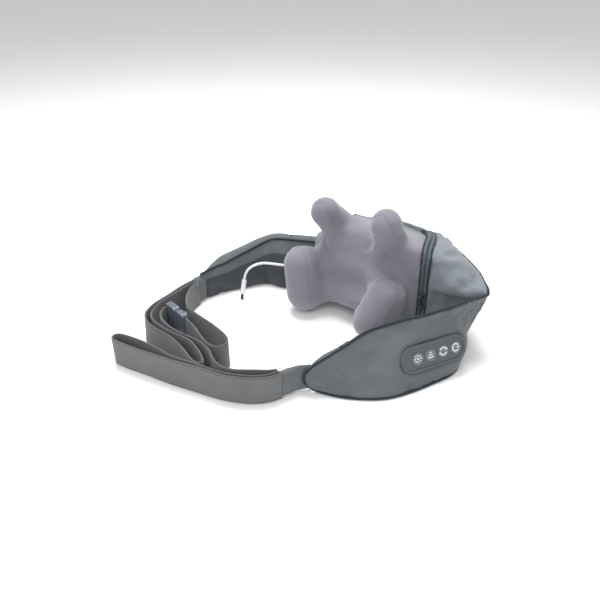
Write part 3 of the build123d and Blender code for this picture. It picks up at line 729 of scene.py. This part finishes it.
# %% Inflate with Cloth
SWELL_STEPS = 20
OFF_TABLE = 0.3           # lowest that a swollen pad may reach, in millimetres


def coordinates(piece):
    """A mesh's points as an array in millimetres."""
    flat = np.zeros(len(piece.data.vertices) * 3, np.float32)
    piece.data.vertices.foreach_get("co", flat)
    return flat.reshape(-1, 3).astype(float) / MM


def set_coordinates(piece, points):
    piece.data.vertices.foreach_set("co", (points * MM).astype(np.float32).ravel())
    piece.data.update()


def inflate(piece, pinned, most, pressure=4.0, slack=0.02):
    """Swells a closed mesh between its pinned points, by at most `most` millimetres."""
    group = piece.vertex_groups.new(name="seams")
    group.add([int(index) for index in pinned], 1.0, "REPLACE")
    air = piece.modifiers.new("air", "CLOTH")
    air.settings.vertex_group_mass = "seams"
    air.settings.use_pressure = True
    air.settings.uniform_pressure_force = pressure
    air.settings.effector_weights.gravity = 0
    air.settings.shrink_min = -slack
    air.settings.quality = 6
    air.settings.bending_stiffness = 0.3
    before = coordinates(piece)
    for step in range(1, SWELL_STEPS + 1):
        bpy.context.scene.frame_set(step)
    blown = piece.evaluated_get(bpy.context.evaluated_depsgraph_get()).to_mesh()
    flat = np.zeros(len(blown.vertices) * 3, np.float32)
    blown.vertices.foreach_get("co", flat)
    move = flat.reshape(-1, 3) / MM - before
    length = np.linalg.norm(move, axis=1, keepdims=True)
    move *= np.tanh(length / most) * most / np.maximum(length, 1e-6)
    piece.modifiers.remove(air)
    piece.vertex_groups.remove(group)
    bpy.context.scene.frame_set(1)
    points = before + move
    points[:, 2] = np.maximum(points[:, 2], OFF_TABLE)
    set_coordinates(piece, points)
    print(f"{piece.name} swelled by up to {np.linalg.norm(move, axis=1).max():.1f} mm")


def ring_rows(rings, columns):
    """Point numbers of some columns of a ring grid, over all its rows."""
    rows, width = rings.shape[:2]
    return np.concatenate([np.arange(rows) * width + column % width for column in columns])


def fold(piece, line, width, depth, facing):
    """Presses a soft crease along a line into the side of a piece that faces a direction."""
    points = coordinates(piece)
    normals = np.zeros(len(points) * 3, np.float32)
    piece.data.vertices.foreach_get("normal", normals)
    normals = normals.reshape(-1, 3)
    facing_it = normals @ np.array(facing, float) > 0.2
    path, _ = laid_on(smooth_line(line, 40), points[facing_it], normals[facing_it])
    away = np.linalg.norm(points[:, None] - path[None], axis=2)
    near = away.min(axis=1)
    share = away.argmin(axis=1) / 39
    fade = np.sin(math.pi * np.clip(share * 0.84 + 0.08, 0, 1)) * facing_it
    press = np.exp(-(near / width) ** 2) - 0.6 * np.exp(-((near - 2 * width) / width) ** 2)
    set_coordinates(piece, points - normals * (depth * fade * press)[:, None])


inflate(cover, ring_rows(cover_rings, [0, 18, 34, 39]), 4.0, 3.0)
for line, width, depth in (([(140, 0, 90), (142, -8, 80), (136, -16, 68), (126, -22, 56)], 6.0, 3.6),
                           ([(120, -16, 92), (114, -24, 74), (110, -28, 50)], 5.0, 2.2),
                           ([(120, 14, 108), (112, -4, 104), (108, -18, 92)], 4.5, 2.2),
                           ([(118, -18, 80), (112, -24, 56), (112, -27, 36)], 4.5, 1.8)):
    fold(cover, line, width, depth, (0, -0.6, 0.8))
# The rim's hem: a line of stitches sinks in, a finger's width inside the cord.
hem = rim[16:60] * 0.80 + inner[16:60] * 0.20 + roof_up[16:60] * 3.0
fold(cover, hem, 2.2, 1.3, (0, -0.3, 0.8))
cover_normals = np.zeros(len(cover.data.vertices) * 3, np.float32)
cover.data.vertices.foreach_get("normal", cover_normals)
cover_surface = coordinates(cover), cover_normals.reshape(-1, 3).astype(float)
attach(cover, "collar")
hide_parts("rear_cover")

# %% [markdown]
# ## The two wings
# Each wing is a pillow of knit outside and darker lining inside, sewn along a corded upper edge and
# along its foot. The outer face leans in towards its top. The near wing carries the button panel,
# so its face is pressed flat behind the panel after the padding is blown up.

# %% Wing stations
# Each station is (upper edge point, lower edge point) of the wing's outer face.
NEAR_WING = [
    ((171, -8, 80), (153, -12, 1)), ((161, -32, 80), (163, -42, 1)), ((151, -61, 80), (169, -70, 1)),
    ((135, -93, 78), (160, -104, 1)), ((120, -110, 74), (149, -134, 1)), ((105, -126, 68), (136, -158, 1)),
    ((92, -143, 62), (117, -176, 1)), ((84, -168, 54), (96, -189, 1)), ((75, -190, 46), (77, -197, 2)),
    ((66, -203, 37), (65, -203, 5)), ((59, -208, 26), (58, -207, 13)),
]
FAR_WING = [
    ((-84, 0, 77), (-86, -12, 1)), ((-123, -15, 75), (-122, -28, 1)), ((-148, -24, 72), (-147, -36, 1)),
    ((-163, -38, 66), (-162, -47, 1)), ((-174, -62, 58), (-173, -68, 1)), ((-184, -90, 50), (-182, -89, 1)),
    ((-187, -115, 45), (-188, -114, 1)), ((-184, -139, 40), (-190, -132, 3)),
]
FACE, BASE, LINING = 18, 5, 16     # columns down the face, under the foot and up the lining
LIP = 4                            # the lining's last columns, where the knit turns over the top
FADE_ROWS = 14                     # rows before the tip over which the tuck fades out


def wing_rings(stations, side, thick, crown, tuck, roll):
    """Rings of points round a wing, from its upper seam down the face and up the lining."""
    top, low = [spread(line, 8) for line in zip(*stations)]
    along = unit(np.gradient(low, axis=0) * (1, 1, 0))
    into = np.stack([along[:, 1], -along[:, 0], 0 * along[:, 0]], axis=1) * side
    lean = np.maximum(np.sum((top - low) * into, axis=1, keepdims=True), 0)
    taper = np.minimum(1, np.linspace(1.6, 0, len(top)) ** 0.5 + 0.25)[:, None]
    base = low + into * (lean + thick) * taper
    base[:, 2] = low[:, 2]
    face_out = unit(np.cross(top - low, along) * side)
    face_out *= np.sign(np.sum(face_out * -into, axis=1, keepdims=True))
    calm = np.clip(np.linspace(len(top) / FADE_ROWS, 0, len(top)), 0, 1)[:, None]
    seam = top + (into - (0, 0, 0.8)) * tuck * calm
    face = panel_rows(seam, low, FACE, crown * taper.ravel(), face_out)
    share = np.linspace(0, 1, FACE, endpoint=False)[None, :, None]
    puff = np.exp(-((share - 0.13) / 0.09) ** 2)
    face += (face_out * 0.5 + (0, 0, 1.0))[:, None] * tuck * 1.9 * calm[:, None] * puff
    lining = panel_rows(base, seam, LINING, 5.0 * taper.ravel(), into)
    share = np.linspace(0, 1, LINING, endpoint=False)[None, :, None]
    puff = np.exp(-((share - 0.90) / 0.08) ** 2)
    lining += (into * 0.4 + (0, 0, 1.0))[:, None] * np.reshape(roll, (-1, 1, 1)) * puff
    return np.concatenate([face, panel_rows(low, base, BASE, 0.0, into), lining], axis=1)


def make_wing(name, stations, side, thick, crown, node, tuck=0.0, roll=0.0):
    rings = wing_rings(stations, side, thick, crown, tuck, roll)
    piece = ring_grid(name, rings, collar_knit)
    piece.data.materials.append(lining_knit)
    width = rings.shape[1]
    body_faces = (len(rings) - 1) * width
    lining = [int(FACE <= index % width < width - LIP and index < body_faces)
              for index in range(len(piece.data.polygons))]
    piece.data.polygons.foreach_set("material_index", lining)
    inflate(piece, ring_rows(rings, [0, FACE]), 5.0)
    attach(piece, "collar")
    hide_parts(node)
    print(name, rings.shape)
    return piece, rings


NEAR_CROWN = [-6, 1, 5, 5, 5, 5, 5, 5, 4, 3, 2]     # drawn in at the collar's corner, padded further on
near_crown = spread([(c,) for c in NEAR_CROWN], 8)[:, 0]
# The knit rolls over the corded edge along the wing's front half.
near_roll = np.interp(np.arange(len(near_crown)), [34, 50, 66, 80], [0, 8, 9, 2])
near_wing, near_rings = make_wing("near_wing", NEAR_WING, 1, 8.0, near_crown, "near_wing_pad", roll=near_roll)
_, far_rings = make_wing("far_wing", FAR_WING, -1, 12.0, 4.0, "far_wing_pad", tuck=9.0)

# %% [markdown]
# ## Bedding the button panel
# The panel is a flat stadium of rubber on a curved, soft wing. Points under it are pushed behind its
# tray, and the knit round it is drawn flat over a finger's width, as a stiff insert does.

# %% Flatten the wing round the panel
PANEL_AT = np.array([153.5, -95.0, 36.0])
PANEL_X = unit([0.40, 0.916, 0.0])
PANEL_Z = unit([0.871, -0.380, 0.315])
PANEL_Y = np.cross(PANEL_Z, PANEL_X)
PANEL_HALF = 28.5         # half the straight length between the panel's round ends
PANEL_ROUND = 15.5
DRAWN_FLAT = 20.0         # how far round the panel the knit is drawn flat


def bed_panel(piece):
    points = coordinates(piece)
    panel_axes = np.stack([PANEL_X, PANEL_Y, PANEL_Z])
    local = (points - PANEL_AT) @ panel_axes.T
    beyond = np.hypot(np.maximum(np.abs(local[:, 0]) - PANEL_HALF, 0), local[:, 1]) - PANEL_ROUND
    index = np.arange(len(points)) % near_rings.shape[1]
    face = (index < FACE) & (np.abs(local[:, 2]) < 30)
    share = np.clip(1 - beyond / DRAWN_FLAT, 0, 1)
    weight = share ** 2 * (3 - 2 * share)
    sunk = np.clip((-beyond) / 2.0, 0, 1) * 5.0
    target = -0.2 - sunk
    local[:, 2] = np.where(face, local[:, 2] * (1 - weight) + target * weight, local[:, 2])
    set_coordinates(piece, PANEL_AT + local @ panel_axes)


# Handling folds: from the wing's tip towards the panel, and a short pucker under the panel's end.
OUT = (0.8, -0.55, 0.3)
for line, width, depth in (
        ([(70, -199, 12), (92, -184, 18), (112, -166, 28), (127, -148, 38)], 5.5, 4.2),
        ([(118, -163, 24), (127, -156, 14), (138, -147, 12)], 4.0, 3.0),
        ([(84, -176, 40), (98, -160, 46), (112, -138, 56)], 5.5, 2.6),
        ([(100, -186, 8), (120, -172, 8), (142, -148, 10)], 4.5, 2.2),
        ([(128, -116, 68), (140, -100, 66), (150, -76, 68)], 5.0, 1.6),
        ([(164, -30, 62), (162, -46, 50), (164, -56, 34)], 5.0, 2.6)):
    fold(near_wing, line, width, depth, OUT)
bed_panel(near_wing)

# %% [markdown]
# ## Corded edges
# A thin dark cord is sewn into the main seams and draws the outline of the collar. It follows the
# pinned edges of the pads exactly, because the padding never moved them.

# %% Piping
PIPE_R = 1.5


def piping(name, line, body="collar"):
    cord = tube(name, even(line, max(int(len(line)), 40)), PIPE_R, piping_cloth)
    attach(cord, body)
    return cord


def lifted(line, by):
    return np.asarray(line, float) + np.array(by, float)


piping("near_top_piping", lifted(near_rings[:, 0], (0, 0, 0.4)))
piping("near_foot_piping", lifted(near_rings[:, FACE], (0, 0, 1.2)))
piping("near_tip_piping", near_rings[-1, :FACE + 1] + (-0.6, -0.6, 0.4))
piping("far_top_piping", lifted(far_rings[:, 0], (0, 0, 0.4)))
piping("rim_piping", lifted(rim[16:97], (0, 0, 0.6)))

# %% [markdown]
# ## The zip
# A zip beside the near claw lets the inner cover be opened for the battery. Its tape is a thin
# woven strip, its coil is two rows of small teeth, and dark binding runs down both edges. The two
# sliders and their pulls are CAD pieces, because they move.

# %% Zip tape, teeth and binding
ZIP_X, ZIP_Y = 97.8, -31.0
ZIP_ROUTE = smooth_line([(ZIP_X, ZIP_Y, 12), (ZIP_X, ZIP_Y, 40), (ZIP_X, ZIP_Y, 75), (ZIP_X, ZIP_Y, 108),
                         (97, -28.5, 116), (93, -20, 121), (84, 2, 122), (72, 26, 117.5), (58, 46, 110),
                         (46, 56, 105.5)], 130)
zip_along = unit(np.gradient(ZIP_ROUTE, axis=0))
bend = np.clip((ZIP_ROUTE[:, 2:3] - 104) / 14, 0, 1) * (ZIP_ROUTE[:, 1:2] > ZIP_Y - 1)
bend = np.maximum.accumulate(bend, axis=0)
zip_out = unit((1 - bend) * np.array([0, -1, 0]) + bend * np.array([0.12, 0.22, 1]))
zip_side = unit(np.cross(zip_along, zip_out))
TAPE_SHAPE = [(-5.5, -0.6), (-3.6, 0), (-0.6, 0), (0, -0.5), (0.6, 0), (3.6, 0), (5.5, -0.6),
              (5.5, -4), (-5.5, -4)]


def on_zip(index, across, out):
    return ZIP_ROUTE[index] + zip_side[index] * across + zip_out[index] * out


tape_rings = [[on_zip(index, *spot) for spot in TAPE_SHAPE] for index in range(len(ZIP_ROUTE))]
tape = ring_grid("zip_tape_strip", tape_rings, zip_cloth)
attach(tape, "collar")
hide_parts("zipper_tape")


def joined(name, parts, finish, body="collar"):
    """Many small solids in one mesh: parts is a list of (points, faces)."""
    points, faces, base = [], [], 0
    for some_points, some_faces in parts:
        points.append(np.asarray(some_points, float))
        faces += [[index + base for index in face] for face in some_faces]
        base += len(some_points)
    piece = mesh_piece(name, np.vstack(points), faces, finish)
    if body:
        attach(piece, body)
    return piece


def pebble(centre, axes, sides=8, levels=5):
    """A rounded lump: a squashed ball on three axes given as vectors in millimetres."""
    points, faces = [], []
    for level in np.linspace(-1, 1, levels):
        high = math.sin(level * math.pi / 2 * 0.999)
        wide = math.cos(level * math.pi / 2 * 0.999)
        for side in range(sides):
            angle = 2 * math.pi * side / sides
            points.append(np.array(centre) + np.array(axes[0]) * wide * math.cos(angle)
                          + np.array(axes[1]) * wide * math.sin(angle) + np.array(axes[2]) * high)
    for level in range(levels - 1):
        for side in range(sides):
            a, b = level * sides + side, level * sides + (side + 1) % sides
            faces.append((a, b, b + sides, a + sides))
    faces += [tuple(range(sides))[::-1], tuple(range(sides * (levels - 1), sides * levels))]
    return points, faces


tooth_spots = np.linspace(2, len(ZIP_ROUTE) - 3, 125)
teeth = []
for number, spot in enumerate(tooth_spots):
    index = int(round(spot))
    for side in (-1, 1):
        centre = on_zip(index, side * 0.75, 0.1) + zip_along[index] * (spot - index + 0.25 * side) * 1.5
        size = (zip_side[index] * 1.3, zip_out[index] * 0.6, zip_along[index] * 0.42)
        teeth.append(pebble(centre, size, 6, 4))
joined("zip_teeth", teeth, slider_metal)
for name, across in (("zip_binding_side", 5.5), ("zip_binding_claw", -5.5)):
    edge = [on_zip(index, across, -0.3) for index in range(0, len(ZIP_ROUTE), 2)]
    binding = tube(name, edge, 1.1, piping_cloth)
    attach(binding, "collar")

# %% [markdown]
# ## Stitches
# Dark thread shows along the seams of the fingertips and inside the corded rim. Each stitch is a
# small bar of its own that lies in the seam's groove and leaves a gap before the next one.


# %% Rows of stitches
def stitch_row(name, line, surface, ways, body):
    """Thread stitches along a line, laid on a surface given as points and outward directions."""
    count = int(np.linalg.norm(np.diff(line, axis=0), axis=1).sum() / STITCH_PITCH)
    path, out = laid_on(even(line, count), surface, ways, 0.1)
    ahead = unit(np.gradient(path, axis=0))
    across = unit(np.cross(ahead, out))
    bars = [pebble(path[i], (across[i] * 0.36, out[i] * 0.30, ahead[i] * 1.05), 6, 4)
            for i in range(1, count - 1)]
    return joined(name, bars, thread, body)


STITCH_PITCH = 3.0
for name, lines in seam_lines.items():
    for label, line in zip(("thumb", "finger"), lines):
        row = stitch_row(f"{name}_{label}_stitches", line, skin_points, normals, None)
        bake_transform(row)
stitch_row("rim_hem_stitches", hem, *cover_surface, "collar")

# %% [markdown]
# ## Webbing
# Woven webbing keeps its width and bends only across its thickness, so it stands on edge on the
# table in smooth curves. Simulation would only blur that. Each strap is drawn as a path in plan and
# given its real width and thickness, a slight roll along its length, and softened edges.


# %% Straps
def strap(name, plan, replaced, phase=0.0, lean=0.0, roll=1.0):
    """Webbing on edge along a path in plan, with rounded edges and a gentle roll."""
    flat = smooth_line([(x, y, 0) for x, y in plan], 400)
    length = np.linalg.norm(np.diff(flat, axis=0), axis=1).sum()
    flat = even(flat, int(length / 3))
    along = unit(np.gradient(flat, axis=0))
    side = np.stack([-along[:, 1], along[:, 0], 0 * along[:, 0]], axis=1)
    reach = np.linspace(0, length, len(flat))
    heights = np.array([0.0, 0.5, 2, 4.5, 6.5, 11, 16, 20, 25, 29.5, 31.5, 34, 35.5, 36])
    half = np.array([0.4, 0.9, 1.2, 1.1, 1.0, 1.0, 1.0, 1.0, 1.0, 1.0, 1.1, 1.2, 0.9, 0.4])
    rise = 0.5 + 0.4 * np.sin(reach / 37 + phase)
    rings = []
    for point, across, s, up in zip(flat, side, reach, rise):
        turned = lean + roll * math.sin(s / 24 + phase) + 0.4 * roll * math.sin(s / 9 + 2 * phase)
        sway = (heights / WEB_W - 0.4) * turned
        front = [point + across * (w + d) + (0, 0, up + h) for h, d, w in zip(heights, half, sway)]
        back = [point + across * (w - d) + (0, 0, up + h) for h, d, w in zip(heights, half, sway)]
        rings.append(front + back[::-1])
    piece = ring_grid(name, rings, webbing_cloth)
    # The weave's map is laid out by height, the same on both faces.
    rows, columns = len(rings), 2 * len(heights)
    uv = []
    level = np.concatenate([heights, heights[::-1]]) * MM
    for row in range(rows - 1):
        for column in range(columns):
            after = (column + 1) % columns
            uv += [(reach[row] * MM, level[column]), (reach[row] * MM, level[after]),
                   (reach[row + 1] * MM, level[after]), (reach[row + 1] * MM, level[column])]
    uv += [(0, WEB_W / 2 * MM)] * (len(piece.data.loops) - len(uv))
    piece.data.uv_layers["cloth"].data.foreach_set("uv", np.array(uv, np.float32).ravel())
    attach(piece, "collar")
    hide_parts(*replaced)
    print(f"{name}: {length:.0f} mm")
    return piece


STRAPS = {
    "near_hand_loop": ([
        (46, -232), (39, -248), (24, -263), (0, -275.5), (-32, -284), (-66, -293), (-100, -300),
        (-128, -306), (-148, -308.6), (-154, -305.5), (-153.5, -300), (-146, -295.5),
        (-124, -290.5), (-98, -289), (-68, -288), (-34, -280), (-3, -271.5), (20, -260),
        (35, -246), (42.3, -231.5)
    ], ["near_loop_front", "near_loop_back"], 0.4, 0.6),
    "chest_strap_near_run": ([
        (38.5, -230.5), (31, -239), (17, -250), (3, -261), (-9, -266), (-22, -265), (-34, -259.5),
        (-47, -252), (-70, -246.5), (-98, -248.5), (-122, -248), (-140, -243.5), (-152, -236),
        (-158, -227), (-159.5, -221)
    ], ["chest_strap_near"], 1.7),
    "chest_strap_far_run": ([
        (-117.5, -223.5), (-94, -230), (-63, -242), (-50, -243.5), (-42.5, -240), (-41, -233),
        (-44, -225), (-55, -218), (-79, -212), (-107, -209.5), (-130, -206), (-150, -196),
        (-166, -178), (-175, -160), (-178, -149.5)
    ], ["chest_strap_far_front", "chest_strap_far_back"], 2.9),
    "far_hand_loop": ([
        (-186.8, -149.5), (-185.5, -172), (-182, -196), (-178, -224), (-170, -244), (-160, -254),
        (-145, -260), (-125, -262), (-100, -263), (-76, -268), (-54, -276.5), (-43, -279),
        (-35.5, -276.5), (-36, -270.5), (-45, -264.5), (-58, -258.5), (-77, -253), (-98, -254.5),
        (-125, -254.5), (-145, -251.5), (-158, -245), (-167, -232), (-173, -216), (-177, -196),
        (-180.5, -172), (-182.6, -149.5)
    ], ["far_loop_outer", "far_loop_inner"], 4.1, 0.6),
}
for name, (plan, *rest) in STRAPS.items():
    strap(name, plan, *rest)

# %% [markdown]
# ## Folded ends
# Where webbing meets a wing, the knit is folded round it and stitched flat. Each fold is a short
# pillow, thick in its middle and thin where it lies on the strap.


# %% Folded fabric at the strap ends
def folded_end(name, line, z0, z1, thick, node):
    """A short fabric sleeve along a line in plan, between two heights."""
    path = smooth_line([(x, y, 0) for x, y in line], 16)
    along = unit(np.gradient(path, axis=0))
    side = np.stack([-along[:, 1], along[:, 0], 0 * along[:, 0]], axis=1)
    rings = []
    for index, (point, across) in enumerate(zip(path, side)):
        swell = 0.72 + 0.28 * math.sin(math.pi * min(index / 15 + 0.25, 1)) - 0.25 * (index / 15) ** 3
        ring = []
        for angle in np.linspace(0, 2 * math.pi, 28, endpoint=False):
            ripple = 1 + 0.16 * math.sin(4 * angle + 0.9 * index) * math.sin(math.pi * index / 15)
            wide = math.copysign(abs(math.cos(angle)) ** 0.7, math.cos(angle)) * thick / 2 * swell * ripple
            high = math.copysign(abs(math.sin(angle)) ** 0.55, math.sin(angle)) * (z1 - z0) / 2
            ring.append(point + across * wide + (0, 0, (z0 + z1) / 2 + high))
        rings.append(ring)
    piece = ring_grid(name, rings, collar_knit)
    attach(piece, "collar")
    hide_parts(node)
    return piece


folded_end("near_folded_end", [(42.5, -230.5), (46, -219), (50, -209.5), (59, -198)], 2, 34, 11,
           "near_strap_end")
folded_end("far_folded_end", [(-184.2, -150.5), (-185.6, -143), (-187.5, -124)], 1, 37, 14, "far_strap_end")

# %% [markdown]
# ## Marks on the keys
# Each key carries a raised print for heat, speed, mode and power. The marks are small solids on the
# key's own plane and ride with it, so they go down when the key is pressed.


# %% Key marks
KEY_TOP = 1.6
KEY_SHIFT, KEY_PITCH = 4.0, 17.4


def on_key(index, x, y, z=0.0):
    """A point on a key's face: x along the panel and y across it, in millimetres."""
    middle = KEY_SHIFT + (index - 1.5) * KEY_PITCH
    return PANEL_AT + PANEL_X * (middle + x) + PANEL_Y * y + PANEL_Z * (KEY_TOP + z)


def dot(index, x, y, radius):
    return pebble(on_key(index, x, y), (PANEL_X * radius, PANEL_Y * radius, PANEL_Z * 0.35), 10, 5)


def stroke(index, line, width=0.42):
    """A run of overlapping dots along a line, closed up into a raised stroke."""
    path = even(np.array([(x, y, 0) for x, y in line], float), max(int(8 * len(line)), 12))
    points, faces, sides = [], [], 6
    along = unit(np.gradient(path, axis=0))
    for (x, y, _), (dx, dy, _) in zip(path, along):
        for angle in np.linspace(0, 2 * math.pi, sides, endpoint=False):
            points.append(on_key(index, x - dy * width * math.cos(angle), y + dx * width * math.cos(angle),
                                 0.35 * math.sin(angle)))
    for row in range(len(path) - 1):
        for side in range(sides):
            a, b = row * sides + side, row * sides + (side + 1) % sides
            faces.append((a, b, b + sides, a + sides))
    faces += [tuple(range(sides))[::-1], tuple(range(len(points) - sides, len(points)))]
    return points, faces


def arc(radius, start, end, count=14):
    return [(radius * math.cos(math.radians(a)), radius * math.sin(math.radians(a)))
            for a in np.linspace(start, end, count)]


rays = [(math.cos(a), math.sin(a)) for a in np.linspace(0, 2 * math.pi, 8, endpoint=False)]
heat_marks = [dot(0, 0, 0, 1.3)] + [stroke(0, [(3.0 * x, 3.0 * y), (4.7 * x, 4.7 * y)], 0.6) for x, y in rays]
joined("heat_mark", heat_marks, icon_print, "heat_button")
speed_marks = [stroke(1, [(-1.4 - 1.2 * row, 3.0 - 2.8 * row), (1.4 + 1.2 * row, 3.0 - 2.8 * row)], 0.62)
               for row in range(3)]
joined("speed_mark", speed_marks, icon_print, "speed_button")
mode_marks = [stroke(2, arc(4.4, 15, 155), 0.6), stroke(2, arc(4.4, 195, 335), 0.6),
              stroke(2, [(2.9, 2.6), (4.5, 0.9), (5.6, 2.8)], 0.5),
              stroke(2, [(-2.9, -2.6), (-4.5, -0.9), (-5.6, -2.8)], 0.5)]
joined("mode_mark", mode_marks, icon_print, "mode_button")
power_marks = [stroke(3, arc(4.3, 35, 325, 24), 0.6), stroke(3, [(1.2, 0), (5.0, 0)], 0.6)]
joined("power_mark", power_marks, icon_print, "power_button")

# %% [markdown]
# ## Floor and light
# A white table, a large soft key from the upper left, a weaker one from the right and a bright
# even sky give the near shadowless light of a catalogue picture.

# %% Floor
floor_points = [(-6000, -6000, -0.2), (6000, -6000, -0.2), (6000, 6000, -0.2), (-6000, 6000, -0.2)]
floor_recipe = Recipe("pale table", Roughness=0.9, Specular_IOR_Level=0.1)
floor_shade = floor_recipe.mix(floor_recipe.noise(floor_recipe.place(), 3.0), (0.93, 0.93, 0.93, 1),
                               (0.96, 0.96, 0.96, 1))
floor = mesh_piece("floor", floor_points, [(0, 1, 2, 3)], floor_recipe.finish(floor_shade), smooth=False)

# %% Lights
world = bpy.data.worlds.new("soft sky")
world.use_nodes = True
world.node_tree.nodes["Background"].inputs["Color"].default_value = (1, 1, 1, 1)
world.node_tree.nodes["Background"].inputs["Strength"].default_value = 0.60
bpy.context.scene.world = world


def soft_box(name, location, target, size, power):
    """A large square lamp aimed at a point."""
    data = bpy.data.lights.new(name, "AREA")
    data.size = size
    data.energy = power
    lamp = place(name, data)
    lamp.location = m(location)
    lamp.rotation_euler = (m(target) - m(location)).to_track_quat("-Z", "Y").to_euler()
    return lamp


soft_box("key", (-350, 150, 1500), (0, -100, 40), 0.8, 25)
soft_box("fill", (500, -1000, 900), (0, -100, 40), 1.2, 9)
bpy.context.scene.view_settings.view_transform = "Standard"
